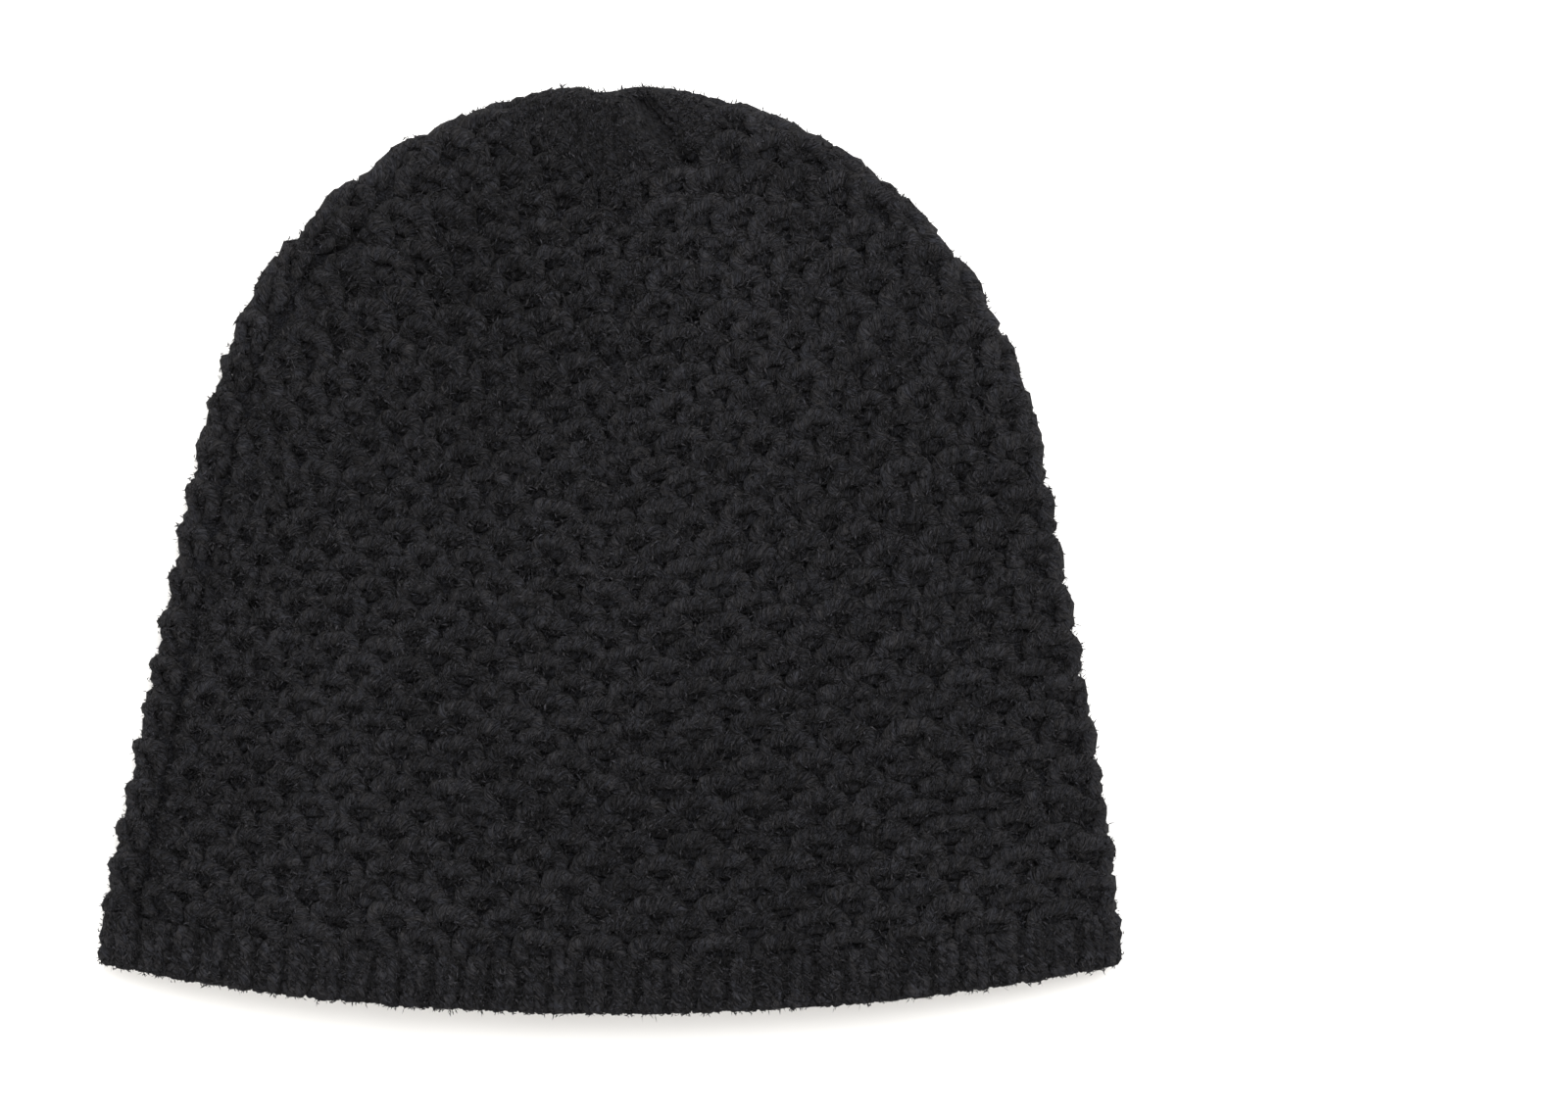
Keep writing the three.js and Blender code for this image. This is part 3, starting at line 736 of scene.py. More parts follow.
def cell_tubes(cells, shape, count, layer, jitter):
    """Centre lines and normals of one tube for every cell of a layer."""
    n = len(cells["q"])
    size = 1 + jitter * rng.normal(0, 1, (n, 1)).clip(-2, 2)
    tilt = rng.normal(0, 0.035, (n, 1))
    local = np.repeat(shape[None], n, 0)
    local[:, :, 0] = local[:, :, 0] * cells["wide"][:, None] * size + tilt * local[:, :, 1]
    local[:, :, 1] = local[:, :, 1] * (1 + jitter * rng.normal(0, 1, (n, 1)).clip(-2, 2))
    local[:, :, 0] += rng.normal(0, 0.017, (n, 1))
    local[:, :, 1] += rng.normal(0, 0.024, (n, 1))
    local[:, 1:-1, 0] += rng.normal(0, 0.014, local[:, 1:-1, 0].shape)
    local[:, 1:-1, 1] += rng.normal(0, 0.018, local[:, 1:-1, 1].shape)
    outer = np.abs(cells["leg"]) == 1
    proud = np.clip(np.sign(cells["leg"])[:, None] * shape[None, :, 0] / 0.40, 0, 1) ** 2 * outer[:, None]
    low = np.clip(shape[None, :, 1] + 0.1, 0, 1)
    local[:, :, 2] += proud * (0.75 + 2.4 * low) + rng.normal(0, 0.15, (n, 1))
    line = catmull(local, count)
    # how deep each point of the tube lies below the tops, used to paint deeper yarn lighter in place of light scattered
    # into the holes
    depths.append(np.clip(-1.4 - line[:, :, 2], 0, 2.6))
    q = cells["q"][:, None, :] + cells["wu"][:, None, :] * line[:, :, :1] + cells["wv"][:, None, :] * line[:, :, 1:2]
    flat_q, height = q.reshape(-1, 2), line[:, :, 2].ravel()
    tucked = np.repeat(cells["leg"] == -2.0, count)
    if tucked.any():  # cells cut by the seam go down into it
        d, inward, _ = inset_of(flat_q)
        short = np.where(tucked, np.maximum(SEAM_INSET + 1.6 - d, 0), 0)
        flat_q = flat_q + inward * (0.85 * short)[:, None]
        height = height - 0.45 * short
    p, normal = surface(flat_q, height, layer)
    return p.reshape(n, count, 3), normal.reshape(n, count, 3)


def fold_tubes(cells, shape, count, recess):
    n = len(cells["o"])
    local = np.repeat(shape[None], n, 0)
    size = 1 + 0.04 * rng.normal(0, 1, (n, 1))
    local[:, :, 0] = local[:, :, 0] * cells["wide"][:, None] * cells["across"][:, None] * size
    local[:, :, 1] = local[:, :, 1] * cells["along"][:, None] + rng.normal(0, 0.2, (n, 1))
    line = catmull(local, count)
    s, b = line[:, :, 0], line[:, :, 1]
    taut = recess * np.exp(-((s / 4.0) ** 2)) * np.where(cells["o"][:, 0] < 0, -0.5, 1.0)[:, None]
    h = line[:, :, 2] - taut
    q = cells["o"][:, None] + cells["t"][:, None] * b[..., None] + cells["n"][:, None] * (np.abs(s) - UNROLL)[..., None]
    # back onto the level that far from the fold, so that a curved edge keeps its place
    d, nn, _ = inset_of(q.reshape(-1, 2))
    q = q.reshape(-1, 2) + nn * ((np.abs(s).ravel() - UNROLL) - d)[:, None]
    front, fn = surface(q, h.ravel(), 1)
    back, bn = surface(q, h.ravel(), -1)
    on_front = (s.ravel() >= 0)[:, None]
    return np.where(on_front, front, back).reshape(n, count, 3), np.where(on_front, fn, bn).reshape(n, count, 3)


FLOOR_LEVEL = 0.08
# painted light: tone added per mm of depth, so yarn deep in the holes is painted lighter
DEPTH_PAINTED_LIGHT = 0.16
front_cells, fold_cells = collect_cells(1)
back_cells, _ = collect_cells(-1)
order = np.argsort(-front_cells["q"][:, 1])
front_cells = {k: v[order] for k, v in front_cells.items()}
half = len(order) // 2
print("cells", len(front_cells["q"]), "back", len(back_cells["q"]), "fold", len(fold_cells["o"]))

upper, lower, loops, under, under_loops, border_out, border_in, crown_knit = (Yarn() for _ in range(8))
for yarn, part in ((upper, slice(0, half)), (lower, slice(half, None))):
    cells = {k: v[part] for k, v in front_cells.items()}
    tone = rng.normal(0, 0.045, len(cells["q"]))
    size = cell_sizes(cells)
    p, n = cell_tubes(cells, ARCH, 17, 1, 0.05)
    # painted light: the arches are painted lighter the deeper they lie
    yarn.add(p, n, ARCH_YARN * size * (1 + rng.normal(0, 0.035, len(p))), 9, tone[:, None] + DEPTH_PAINTED_LIGHT * depths[-1], flat=ARCH_FLAT)
    p, n = cell_tubes(cells, LOOP, 7, 1, 0.08)
    # painted shade and light: the inner loops get a darker tone as shade in the cells' hollows, and are painted lighter
    # the deeper they lie
    loops.add(p, n, LOOP_YARN * size * (1 + rng.normal(0, 0.08, len(p))), 7, tone[:, None] - 0.14 + 0.09 * depths[-1], flat=LOOP_FLAT)
p, n = cell_tubes(back_cells, ARCH, 11, -1, 0.05)
# painted light: on the back layer too, yarn is painted lighter the deeper it lies
under.add(p, n, ARCH_YARN * cell_sizes(back_cells), 6, rng.normal(0, 0.05, (len(p), 1)) + DEPTH_PAINTED_LIGHT * depths[-1], floor=FLOOR_LEVEL)
p, n = cell_tubes(back_cells, LOOP, 5, -1, 0.08)
under_loops.add(p, n, LOOP_YARN * cell_sizes(back_cells), 5, rng.normal(0, 0.05, (len(p), 1)) + DEPTH_PAINTED_LIGHT * depths[-1], floor=FLOOR_LEVEL)
if len(fold_cells["o"]):
    p, n = fold_tubes(fold_cells, ARCH, 17, 0.9)
    lower.add(p, n, 1.82, 9, rng.normal(0, 0.05, len(p)), flat=0.88, floor=FLOOR_LEVEL)
    p, n = fold_tubes(fold_cells, FOLD_LOOP, 8, 0.2)
    loops.add(p, n, 2.25, 8, rng.normal(-0.08, 0.05, len(p)), flat=0.85, floor=FLOOR_LEVEL)

# ------------------------------------------------------------------ the middle line of decreases
# plan y of each V of two slanting stitches, and how far its two legs' middles lie from the line
DECREASES = [(84.8, 2.4), (74.0, 2.9), (62.5, 2.8), (50.2, 2.3), (38.9, 2.4), (25.6, 2.9), (11.0, 2.8), (-1.8, 2.4)]
legs, leg_n = [], []
centre_cells = {"q": []}
for y, apart in DECREASES:
    x = float(mitre_x(y))
    for way in (-1, 1):
        pts = np.array([(x + way * (apart + 1.5), y + 2.6, -3.2), (x + way * (apart + 0.5), y + 1.1, -1.5),
                        (x + way * (apart - 0.5), y - 0.9, -1.2), (x + way * (apart - 1.8), y - 2.7, -3.0)])
        line = catmull(pts[None], 10)[0]
        for layer, yarn in ((1, upper), (-1, under)):
            p, n = surface(line[:, :2], line[:, 2], layer)
            yarn.add(p[None], n[None], 1.3, 8, 0.12, floor=FLOOR_LEVEL)
    centre_cells["q"].append((x, y - 6.4))
for cells, layer in ((centre_cells, 1),):
    n = len(cells["q"])
    cells = {"q": np.array(cells["q"]), "wu": np.tile([9.6, 0.0], (n, 1)), "wv": np.tile([0.0, -8.4], (n, 1)),
             "wide": np.ones(n), "leg": np.zeros(n)}
    for layer, yarn, ring in ((1, upper, loops), (-1, under, under_loops)):
        p, n_ = cell_tubes(cells, ARCH, 16, layer, 0.05)
        yarn.add(p, n_, 1.3, 8, 0.0, floor=FLOOR_LEVEL)
        p, n_ = cell_tubes(cells, LOOP, 8, layer, 0.05)
        ring.add(p, n_, 0.9, 8, -0.1, floor=FLOOR_LEVEL)

# ------------------------------------------------------------------ rib border
WALES = 36  # pairs of wales on each layer
SPILL = UNROLL / 115.3  # the fold's extra cloth, as a share of the half width
RIB_COURSES = 3
COURSE_RISE = 3.0


def rib_point(along, up, h, layer):
    """along: pairs of wales from the left fold; up: mm from the cast-on edge; any shape."""
    shape = np.broadcast(along, up, h).shape
    along, up, h = (np.broadcast_to(v, shape).ravel().astype(float) for v in (along, up, h))
    across = (2 * along / WALES - 1) * (1 + SPILL)
    wall = np.clip(across, -1 - SPILL, 1 + SPILL)
    p, n = surface(plan(up, wall), h, layer)
    return p.reshape(*shape, 3), n.reshape(*shape, 3)


def rib_tubes(yarn, along, up, pts, count, radius, sides, layer, tone):
    """The same small tube at many places: pts is (K, 3) of pairs of wales, mm up and height."""
    n = len(along)
    local = np.repeat(np.asarray(pts, float)[None], n, 0)
    local[:, :, 0] += along[:, None] + rng.normal(0, 0.012, (n, 1))
    local[:, :, 1] += up[:, None] + rng.normal(0, 0.14, (n, 1))
    local[:, :, 2] += rng.normal(0, 0.09, (n, 1))
    line = catmull(local, count)
    p, normal = rib_point(line[..., 0], line[..., 1], line[..., 2], layer)
    yarn.add(p, normal, radius * (1 + rng.normal(0, 0.04, n)), sides, tone + rng.normal(0, 0.1, n), floor=FLOOR_LEVEL)


places, courses = np.meshgrid(np.arange(WALES) + 0.5, np.arange(RIB_COURSES), indexing="ij")
places, lifts = places.ravel(), (courses.ravel() * COURSE_RISE + 2.3)
LEG = [(0.05, -1.0, -2.6), (0.135, 0.3, -1.6), (0.172, 1.6, -1.4), (0.135, 3.0, -1.75), (0.06, 4.2, -2.9)]
PURL = [(-0.27, 0.4, -3.0), (-0.12, 1.1, -2.5), (0.0, 1.3, -2.35), (0.12, 1.1, -2.5), (0.27, 0.4, -3.0)]
for layer in (1, -1):
    for way in (-1, 1):
        leg = [(way * a, b, h) for a, b, h in LEG]
        rib_tubes(border_out, places, lifts, leg, 8, 1.6, 8, layer, 0.06)
        inner = [(way * a, b, -HEM_WALL - h) for a, b, h in LEG]
        rib_tubes(border_in, places - 0.5, lifts, inner, 6, 1.1, 5, layer, -0.1)
    rib_tubes(border_out, places - 0.5, lifts, PURL, 5, 0.95, 6, layer, -0.12)
    edge_places = np.arange(2 * WALES) / 2.0 + 0.25
    wrap = [(0.17, 3.7, -3.3), (0.12, 2.6, -3.4), (0.02, 1.75, -2.3), (-0.10, 2.4, -1.4), (-0.17, 3.7, -1.4)]
    rib_tubes(border_out, edge_places, np.zeros(len(edge_places)), wrap, 8, 1.15, 6, layer, 0.06)

# ------------------------------------------------------------------ gathered crown
CROWN_WALES = 15
CROWN_ROWS = 6


def crown_q(run, across):
    """Unrolled plan points of the crown; those near the fold are let out over it."""
    q = plan(np.minimum(run, CLOSED_RUN), across)
    d, n, left = inset_of(q)
    return q - n * (UNROLL * np.clip(1 - d / 8.0, 0, 1) ** 2)[:, None]


row, wale = np.meshgrid(np.arange(CROWN_ROWS), np.arange(CROWN_WALES), indexing="ij")
row, wale = row.ravel(), wale.ravel()
CROWN_FROM = CROWN_RUN - 3.5
row_run = (CLOSED_RUN - CROWN_FROM + 1.0) / CROWN_ROWS
for layer, count, sides in ((1, 6, 7), (-1, 5, 5)):
    for way in (-1, 1):
        local = np.array([(way * 0.10, -0.45, -2.1), (way * 0.28, 0.1, -1.5), (way * 0.31, 0.55, -1.4), (way * 0.16, 1.2, -2.0)])
        line = catmull(np.repeat(local[None], len(row), 0), count)
        run = CROWN_FROM + (row[:, None] + line[:, :, 1] + rng.normal(0, 0.05, (len(row), 1))) * row_run
        across = (2 * (wale[:, None] + 0.5 + line[:, :, 0] + rng.normal(0, 0.03, (len(row), 1))) / CROWN_WALES - 1)
        q = crown_q(run.ravel(), np.clip(across.ravel(), -1, 1))
        p, n = surface(q, line[:, :, 2].ravel(), layer)
        width = np.linalg.norm(plan(np.minimum(run[:, 0], CLOSED_RUN), 1.0 + 0 * run[:, 0]) - plan(np.minimum(run[:, 0], CLOSED_RUN), -1.0 + 0 * run[:, 0]), axis=1) / CROWN_WALES
        r = np.clip(0.46 * width, 0.7, 1.5)
        crown_knit.add(p.reshape(len(row), count, 3), n.reshape(len(row), count, 3), r, sides, rng.normal(0.04, 0.03, len(row)), flat=0.75, ply=0.05, lumps=0.04, floor=FLOOR_LEVEL)

# ------------------------------------------------------------------ the ground of the cloth, and its inside
def ground():
    """A closed thin shell below the stitches: rings round both layers, from the hem to the shut crown."""
    runs = np.concatenate([np.linspace(1.6, CROWN_RUN, 84), np.linspace(CROWN_RUN, CLOSED_RUN, 14)[1:]])
    around = 96
    cells = []
    for skin in ("out", "in"):
        for run in runs:
            t = (np.arange(around + 1)) / around
            half_width = np.linalg.norm(plan(run, -1.0) - plan(run, 1.0)) / 2
            # even steps across, closer together near the folds
            s = np.sin((t - 0.5) * np.pi) * 0.35 + (2 * t - 1) * 0.65
            q = plan(np.full(len(s), run), s)
            d, n, _ = inset_of(q)
            d = np.clip(d, 0, None)
            proj = np.clip(1 - d / FOLD_RADIUS, -1, 1)
            unrolled = np.where(d < ROUND_END, FOLD_RADIUS * np.arccos(proj) - UNROLL, d)
            q = q + n * (unrolled - d)[:, None]
            # the two end points lie on the fold's own middle
            q[[0, -1]] = q[[0, -1]] + n[[0, -1]] * (-UNROLL - inset_of(q[[0, -1]])[0])[:, None]
            hem = 1 - smooth(run, HEM_HEIGHT - 2, HEM_HEIGHT + 3)
            loops_ = []
            for layer in (1, -1):
                side = (q[:, 0] > mitre_x(q[:, 1])).astype(int)
                u = np.zeros(len(q)); v = np.zeros(len(q))
                for k in (0, 1):
                    uu, vv = chart(q, k)
                    u, v = np.where(side == k, uu, u), np.where(side == k, vv, v)
                hole = np.cos(np.pi * (u + v)) ** 2 * np.cos(np.pi * (u - v)) ** 2
                if skin == "out":
                    h = -2.95 - 0.6 * hole * (1 - hem) + 0.25 * hem
                    if run > CROWN_RUN:
                        h = h * 0 - 1.75
                else:
                    h = np.full(len(q), -WALL + 0.1) + 0.6 * hem + 0.18 * np.cos(2 * np.pi * u) * np.cos(2 * np.pi * v)
                p, _ = surface(q, h, layer)
                loops_.append(p)
            front, back = loops_
            mid = (front[[0, -1]] + back[[0, -1]]) / 2
            front[[0, -1]] = mid
            cells.append(np.concatenate([front, back[1:-1][::-1]]))
    rings = np.array(cells)
    m = rings.shape[1]
    k = len(runs)
    rings[..., 2] = np.maximum(rings[..., 2], 0.3)
    # shut the crown: front and back meet along the last ring
    for top in (k - 1, 2 * k - 1):
        f = rings[top, : around + 1]
        b = np.concatenate([f[:1], rings[top, around + 1:][::-1], f[-1:]])
        mean = (f + b) / 2
        rings[top, : around + 1] = mean
        rings[top, around + 1:] = mean[1:-1][::-1]
    verts = rings.reshape(-1, 3)
    i, j = np.meshgrid(np.arange(k - 1), np.arange(m), indexing="ij")
    at = lambda skin, i, j: (skin * k + i) * m + (j % m)
    outer_q = np.stack([at(0, i, j), at(0, i, j + 1), at(0, i + 1, j + 1), at(0, i + 1, j)], -1).reshape(-1, 4)
    inner_q = np.stack([at(1, i, j + 1), at(1, i, j), at(1, i + 1, j), at(1, i + 1, j + 1)], -1).reshape(-1, 4)
    j1 = np.arange(m)
    lip = np.stack([at(0, 0, j1 + 1), at(0, 0, j1), at(1, 0, j1), at(1, 0, j1 + 1)], -1)
    quads = np.concatenate([outer_q, inner_q, lip])
    uv_of = lambda skin, i, j: np.stack(np.broadcast_arrays((j / m) * 0.98 + 0.01, (skin * 0.5) + 0.01 + 0.48 * i / (k - 1)), -1)
    uvs = np.concatenate([
        np.stack([uv_of(0, i, j), uv_of(0, i, j + 1), uv_of(0, i + 1, j + 1), uv_of(0, i + 1, j)], -2).reshape(-1, 4, 2),
        np.stack([uv_of(1, i, j + 1), uv_of(1, i, j), uv_of(1, i + 1, j), uv_of(1, i + 1, j + 1)], -2).reshape(-1, 4, 2),
        np.stack([uv_of(0, 0 * j1, j1 + 1), uv_of(0, 0 * j1, j1), uv_of(0, 0 * j1 - 0.4, j1), uv_of(0, 0 * j1 - 0.4, j1 + 1)], -2),
    ])
    fibre = verts * [1.0, 1.0, 1.0]
    ob = build("knit_ground", verts, quads, np.zeros((0, 3), int), fibre, np.full(len(verts), -0.25), uvs, np.zeros((0, 3, 2)))
    # the last rings of both skins are shut along a line: join what lies in one place
    import bmesh
    bm = bmesh.new()
    bm.from_mesh(ob.data)
    bmesh.ops.remove_doubles(bm, verts=bm.verts, dist=1e-6)
    bm.to_mesh(ob.data)
    bm.free()
    return ob


# ------------------------------------------------------------------ loose fibres
def spindles(name, roots, go, lengths, thick, bend, tone):
    """Short bent fibres, thickest in the middle and closed at both tips: roots and go (N, 3), in mm."""
    n = len(roots)
    side = unit(np.cross(go, rng.normal(0, 1, (n, 3))))
    other = np.cross(go, side)
    middle = roots + go * (0.45 * lengths)[:, None] + side * (bend * lengths)[:, None]
    tip = roots + go * lengths[:, None]
    wide = (1.15 * thick)[:, None]
    verts = np.stack([roots, tip, middle - other * wide, middle + other * wide + side * wide], 1)
    verts[..., 2] = np.maximum(verts[..., 2], 0.02)
    # outward facing triangles of each tetrahedron
    a, b, c, d = (verts[:, k] for k in range(4))
    turned = ((np.cross(b - a, c - a) * (d - a)).sum(1) > 0)[:, None, None]
    one = np.array([[0, 1, 2], [0, 3, 1], [0, 2, 3], [1, 3, 2]])
    tris = (4 * np.arange(n)[:, None, None] + np.where(turned, one[:, ::-1][None], one[None])).reshape(-1, 3)
    cols = max(1, int(math.ceil(math.sqrt(n))))
    ox, oy = np.arange(n) % cols, np.arange(n) // cols
    corner = np.array([[0.25, 0.05], [0.25, 0.95], [0.05, 0.5], [0.45, 0.5]])
    faces = np.where(turned, one[:, ::-1][None], one[None])
    uvs = corner[faces] + np.array([[0, 0], [0.5, 0], [0, 0], [0.5, 0]])[None, :, None, :]
    uvs = (uvs + np.column_stack([ox, oy])[:, None, None, :]) / cols
    fibre = verts + rng.uniform(-300, 300, (n, 1, 3))
    # each fibre's tone gets the painted light and shade of the place where it grows
    return build(name, verts.reshape(-1, 3), np.zeros((0, 4), int), tris, fibre.reshape(-1, 3),
                 np.repeat(tone + painted_light_and_shade(roots), 4), np.zeros((0, 4, 2)), uvs.reshape(-1, 3, 2))


def roots_from(yarns, where, count, shift=0.25):
    p = np.concatenate([r[0] for y in yarns for r in y.roots])
    f = np.concatenate([r[1] for y in yarns for r in y.roots])
    ok = np.nonzero(where(p, f))[0]
    pick = rng.choice(ok, count, replace=len(ok) < count)
    return p[pick] + rng.normal(0, shift, (count, 3)) * [1, 1, 0], f[pick]


def topmost(p):
    """Which of the points show from above, by the highest in each half millimetre square."""
    i, j = ((p[:, 0] + 140) / 0.8).astype(int), ((p[:, 1] + 140) / 0.8).astype(int)
    high = np.zeros((360, 360))
    np.maximum.at(high, (i, j), p[:, 2])
    around = high.copy()
    for di in (-1, 0, 1):
        for dj in (-1, 0, 1):
            around = np.maximum(around, np.roll(high, (di, dj), (0, 1)) - 0.35)
    return p[:, 2] > around[i, j] - 0.9


FIBRES = 96000


def at_rim(p, reach):
    """Which points lie near the outline seen from above."""
    return (inset_of(p[:, :2])[0] < reach) | (p[:, 1] < hem_y(p[:, 0].clip(-115, 115)) + reach)


def make_fuzz():
    made = []
    visible = [upper, lower, loops, crown_knit, border_out]
    # over the face: short fibres that lie nearly flat, most of them on a steep slant, and others that reach
    # from the sides of the yarn over the gaps
    for name, reach in (("surface_fibres_a", False), ("surface_fibres_b", False), ("surface_fibres_c", True)):
        count = FIBRES // 3
        if reach:
            p, f = roots_from([upper, lower, loops, border_out], lambda p, f: (f[:, 2] > -0.1) & (f[:, 2] < 0.72) & (p[:, 2] > 5) & topmost(p), count)
            go = unit(f * [1, 1, 0.35] + rng.normal(0, 0.55, f.shape) + [0, 0, 0.12])
            size = rng.uniform(1.1, 2.9, count) * np.where(at_rim(p, 3.5), 0.45, 1.0)
            made.append(spindles(name, p - go * 0.25 * size[:, None], go, size, rng.uniform(0.06, 0.115, count),
                                 rng.uniform(-0.22, 0.22, count), rng.normal(0.0, 0.30, count)))
            continue
        p, f = roots_from(visible, lambda p, f: (f[:, 2] > 0.1) & (p[:, 2] > 6) & topmost(p), count)
        slant = np.radians(rng.choice([52.0, 90.0, 128.0, 0.0], count, p=[0.36, 0.22, 0.36, 0.06]) + rng.normal(0, 18, count))
        flip = rng.choice([-1.0, 1.0], count)
        flat = np.column_stack([np.cos(slant) * flip, np.sin(slant) * flip, np.zeros(count)])
        go = unit(unit(flat - 0.8 * f * (flat * f).sum(1)[:, None]) + f * rng.uniform(-0.05, 0.35, (count, 1)))
        size = rng.uniform(1.0, 2.3, count) * np.where(at_rim(p, 2.5), 0.6, 1.0)
        made.append(spindles(name, p - go * 0.35 * size[:, None] + f * 0.08, go, size, rng.uniform(0.08, 0.15, count),
                             rng.uniform(-0.16, 0.2, count), rng.normal(0.02, 0.42, count)))

    def rim(p, f):
        d = inset_of(p[:, :2])[0]
        out = np.hypot(f[:, 0], f[:, 1])
        low = p[:, 1] < hem_y(p[:, 0].clip(-115, 115)) + 1.6
        return ((d < 1.6) & (out > 0.6) & (p[:, 2] > 1.5)) | (low & (f[:, 1] < -0.4) & (p[:, 2] > 1.0))

    count = 5200
    p, f = roots_from(visible + [under], rim, count, 0.06)
    go = unit(f * [1, 1, 0.5] + rng.normal(0, 0.5, f.shape))
    size = rng.gamma(2.4, 0.33, count).clip(0.5, 2.2)
    made.append(spindles("outline_fibres", p - go * 0.3, go, size, rng.uniform(0.035, 0.07, count),
                         rng.uniform(-0.25, 0.25, count), rng.normal(0.25, 0.2, count)))
    return made


# ------------------------------------------------------------------ materials
def yarn_material(name, dark, light, fibre_scale=1.0, sheen=0.017):
    """Charcoal wool: fine fibre streaks that wind round each yarn, clumps of strands, and a soft nap."""
    mat = bpy.data.materials.new(name)
    mat.use_nodes = True
    nodes, links = mat.node_tree.nodes, mat.node_tree.links
    nodes.clear()
    out = nodes.new("ShaderNodeOutputMaterial")
    shader = nodes.new("ShaderNodeBsdfPrincipled")
    links.new(shader.outputs[0], out.inputs[0])
    shader.inputs["Roughness"].default_value = 0.92
    shader.inputs["Specular IOR Level"].default_value = 0.04
    shader.inputs["Sheen Weight"].default_value = sheen
    shader.inputs["Sheen Roughness"].default_value = 0.55
    shader.inputs["Sheen Tint"].default_value = (1.0, 0.965, 0.9, 1)
    shader.inputs["Metallic"].default_value = 0.0

    where = nodes.new("ShaderNodeAttribute")
    where.attribute_name = "fibre"

    def noise(scale, stretch, detail, rough=0.55, curl=0.0):
        size = nodes.new("ShaderNodeMapping")
        size.vector_type = "POINT"
        size.inputs["Scale"].default_value = (scale, scale, scale * stretch)
        links.new(where.outputs["Vector"], size.inputs["Vector"])
        tex = nodes.new("ShaderNodeTexNoise")
        tex.inputs["Scale"].default_value = 1.0
        tex.inputs["Detail"].default_value = detail
        tex.inputs["Roughness"].default_value = rough
        tex.inputs["Distortion"].default_value = curl
        links.new(size.outputs[0], tex.inputs["Vector"])
        return tex.outputs[0]

    def ramp(value, low, high, a=0.0, b=1.0):
        r = nodes.new("ShaderNodeMapRange")
        r.inputs["From Min"].default_value = low
        r.inputs["From Max"].default_value = high
        r.inputs["To Min"].default_value = a
        r.inputs["To Max"].default_value = b
        links.new(value, r.inputs["Value"])
        return r.outputs[0]

    def math_node(op, a, b):
        m = nodes.new("ShaderNodeMath")
        m.operation = op
        for k, v in enumerate((a, b)):
            if isinstance(v, (int, float)):
                m.inputs[k].default_value = v
            else:
                links.new(v, m.inputs[k])
        return m.outputs[0]

    fine = ramp(noise(3.6 * fibre_scale, 0.22, 2.0, 0.6, 0.9), 0.42, 0.58)
    strands = ramp(noise(1.5 * fibre_scale, 0.3, 2.0, 0.55, 0.8), 0.36, 0.66)
    patch = ramp(noise(0.33, 1.0, 2.0), 0.35, 0.65)
    streak = math_node("ADD", math_node("MULTIPLY", fine, 0.62), math_node("MULTIPLY", strands, 0.28))
    streak = math_node("ADD", streak, math_node("MULTIPLY", patch, 0.10))
    # the tone attribute, random tone plus painted light and shade, moves the base colour lighter or darker
    tone = nodes.new("ShaderNodeAttribute")
    tone.attribute_name = "tone"
    level = math_node("ADD", streak, math_node("MULTIPLY", tone.outputs["Fac"], 0.8))
    mix = nodes.new("ShaderNodeValToRGB")
    ramp_ = mix.color_ramp
    ramp_.interpolation = "EASE"
    ramp_.elements[0].position, ramp_.elements[0].color = 0.05, (*dark, 1)
    ramp_.elements[1].position, ramp_.elements[1].color = 1.0, (*light, 1)
    middle = ramp_.elements.new(0.5)
    middle.color = (*[0.62 * d + 0.38 * l for d, l in zip(dark, light)], 1)
    links.new(level, mix.inputs[0])
    # heather: warm and cold fibres in loose clumps
    heather = nodes.new("ShaderNodeValToRGB")
    heather.color_ramp.elements[0].position, heather.color_ramp.elements[0].color = 0.36, (1.0, 0.955, 0.86, 1)
    heather.color_ramp.elements[1].position, heather.color_ramp.elements[1].color = 0.64, (0.92, 0.95, 1.0, 1)
    links.new(noise(0.75, 0.7, 3.0, 0.7), heather.inputs[0])
    tinted = nodes.new("ShaderNodeMix")
    tinted.data_type = "RGBA"
    tinted.blend_type = "MULTIPLY"
    tinted.inputs["Factor"].default_value = 1.0
    links.new(mix.outputs[0], tinted.inputs[6])
    links.new(heather.outputs[0], tinted.inputs[7])
    links.new(tinted.outputs[2], shader.inputs["Base Color"])
    rough = ramp(fine, 0.0, 1.0, 0.96, 0.82)
    links.new(rough, shader.inputs["Roughness"])
    bump = nodes.new("ShaderNodeBump")
    bump.inputs["Strength"].default_value = 0.7
    bump.inputs["Distance"].default_value = 0.00022
    height = math_node("ADD", math_node("MULTIPLY", fine, 0.55), math_node("MULTIPLY", strands, 0.75))
    links.new(height, bump.inputs["Height"])
    links.new(bump.outputs[0], shader.inputs["Normal"])
    return mat


DARK, LIGHT = (0.0012, 0.0012, 0.00145), (0.0259, 0.0257, 0.0295)
body_wool = yarn_material("charcoal_honeycomb_wool", DARK, LIGHT)
rib_wool = yarn_material("charcoal_rib_wool", DARK, tuple(1.03 * c for c in LIGHT))
# the crown's wool is painted darker, as painted shade of the sunken crown
crown_wool_painted_darker = yarn_material("charcoal_crown_wool", DARK, tuple(0.86 * c for c in LIGHT), fibre_scale=1.15)
# the ground under the stitches is painted lighter, in place of light scattered into the holes
ground_wool_painted_lighter = yarn_material("charcoal_ground_wool", tuple(3.0 * c for c in DARK), tuple(1.3 * c for c in LIGHT), fibre_scale=0.8)
loose_wool = yarn_material("loose_wool_fibres", (0.0012, 0.0012, 0.0015), (0.041, 0.0406, 0.0465))

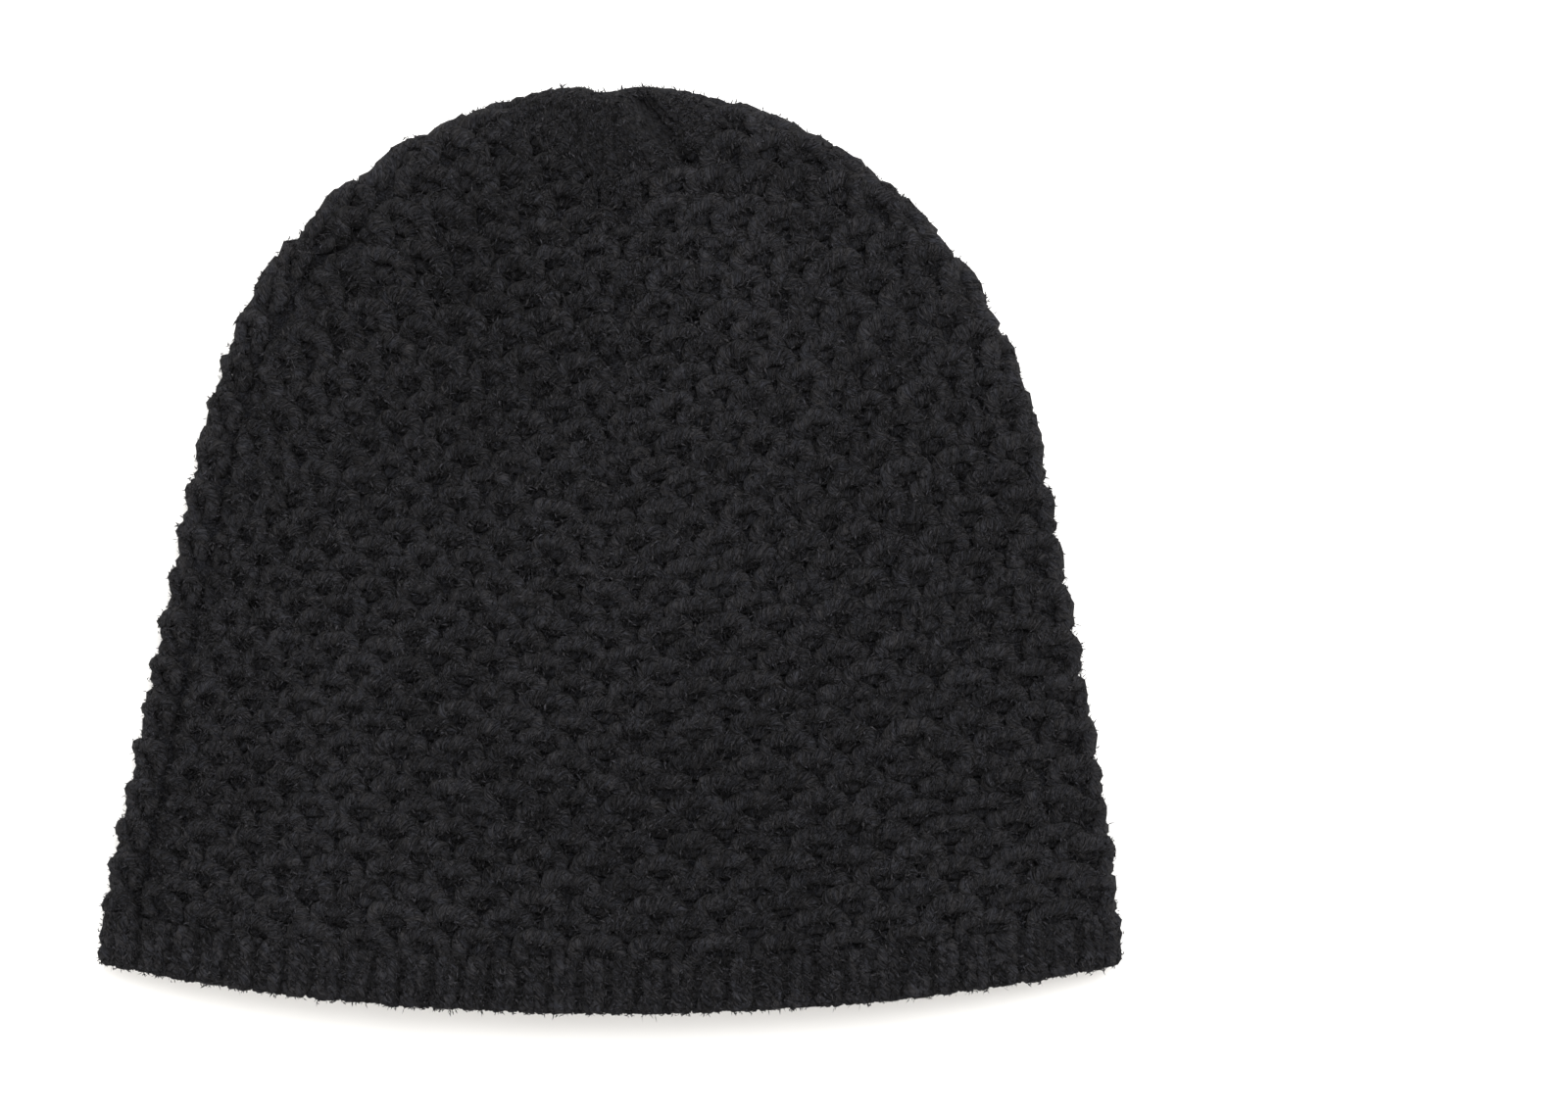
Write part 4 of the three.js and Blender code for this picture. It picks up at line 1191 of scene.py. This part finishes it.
# ------------------------------------------------------------------ pieces
ground_ob = ground()
table = [
    (upper.mesh("honeycomb_upper"), body_wool, "knit_body", "honeycomb_knit"),
    (lower.mesh("honeycomb_lower"), body_wool, "knit_body", "honeycomb_knit"),
    (loops.mesh("honeycomb_inner_loops"), body_wool, "knit_body", "honeycomb_knit"),
    (under.mesh("honeycomb_back"), body_wool, "knit_body", "honeycomb_knit"),
    (under_loops.mesh("honeycomb_back_loops"), body_wool, "knit_body", "honeycomb_knit"),
    (border_out.mesh("rib_border"), rib_wool, "ribbed_hem", "rib_knit"),
    (border_in.mesh("rib_border_inside"), rib_wool, "ribbed_hem", "rib_knit"),
    (crown_knit.mesh("crown_stitches"), crown_wool_painted_darker, "gathered_crown", "plain_knit"),
    (ground_ob, ground_wool_painted_lighter, "knit_body", "honeycomb_knit"),
]
table += [(ob, loose_wool, "knit_body", "honeycomb_knit") for ob in make_fuzz()]
for ob, mat, node, slot in table:
    ob.data.materials.append(mat)
    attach(ob, "root")
    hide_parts(node)

# ------------------------------------------------------------------ floor, light, camera
floor_mesh = bpy.data.meshes.new("floor")
floor_mesh.from_pydata([(-3, -3, 0), (3, -3, 0), (3, 3, 0), (-3, 3, 0)], [], [(0, 1, 2, 3)])
floor = bpy.data.objects.new("floor", floor_mesh)
bpy.context.scene.collection.objects.link(floor)
pale = bpy.data.materials.new("pale_floor")
pale.use_nodes = True
pale_shader = pale.node_tree.nodes["Principled BSDF"]
pale_shader.inputs["Roughness"].default_value = 0.9
pale_shader.inputs["Specular IOR Level"].default_value = 0.1
grain = pale.node_tree.nodes.new("ShaderNodeTexNoise")
grain.inputs["Scale"].default_value = 6.0
tint = pale.node_tree.nodes.new("ShaderNodeValToRGB")
tint.color_ramp.elements[0].color = (0.90, 0.89, 0.875, 1)
tint.color_ramp.elements[1].color = (0.93, 0.92, 0.905, 1)
pale.node_tree.links.new(grain.outputs[0], tint.inputs[0])
pale.node_tree.links.new(tint.outputs[0], pale_shader.inputs["Base Color"])
floor_mesh.materials.append(pale)

scene = bpy.context.scene
world = bpy.data.worlds.new("studio")
scene.world = world
world.use_nodes = True
sky = world.node_tree.nodes["Background"]
sky.inputs[0].default_value = (1.0, 0.985, 0.965, 1)
sky.inputs[1].default_value = 1.28


def softbox(name, place, aim, size, power, color):
    data = bpy.data.lights.new(name, "AREA")
    data.shape = "DISK"
    data.size = size
    data.energy = power
    data.color = color
    ob = bpy.data.objects.new(name, data)
    ob.location = place
    ob.rotation_euler = (Vector(aim) - Vector(place)).to_track_quat("-Z", "Y").to_euler()
    scene.collection.objects.link(ob)
    return ob


softbox("key", (0.26, 0.66, 1.55), (0.0, 0.0, 0.0), 1.1, 29.0, (0.97, 0.985, 1.0))
softbox("fill", (-1.0, -0.15, 0.6), (-0.05, 0.0, 0.0), 0.9, 2.0, (1.0, 0.98, 0.94))

camera_data = bpy.data.cameras.new("camera")
camera_data.sensor_width = 36.0
camera_data.lens = 112.0
camera_data.clip_start, camera_data.clip_end = 0.05, 20.0
camera = bpy.data.objects.new("camera", camera_data)
camera.location = (0.0392, -0.0024, 1.107)
camera.rotation_euler = (0.0, 0.0, 0.0)
scene.collection.objects.link(camera)
scene.camera = camera
scene.view_settings.view_transform = "Standard"
scene.view_settings.look = "None"
scene.view_settings.exposure = 0.0
scene.view_settings.gamma = 1.0
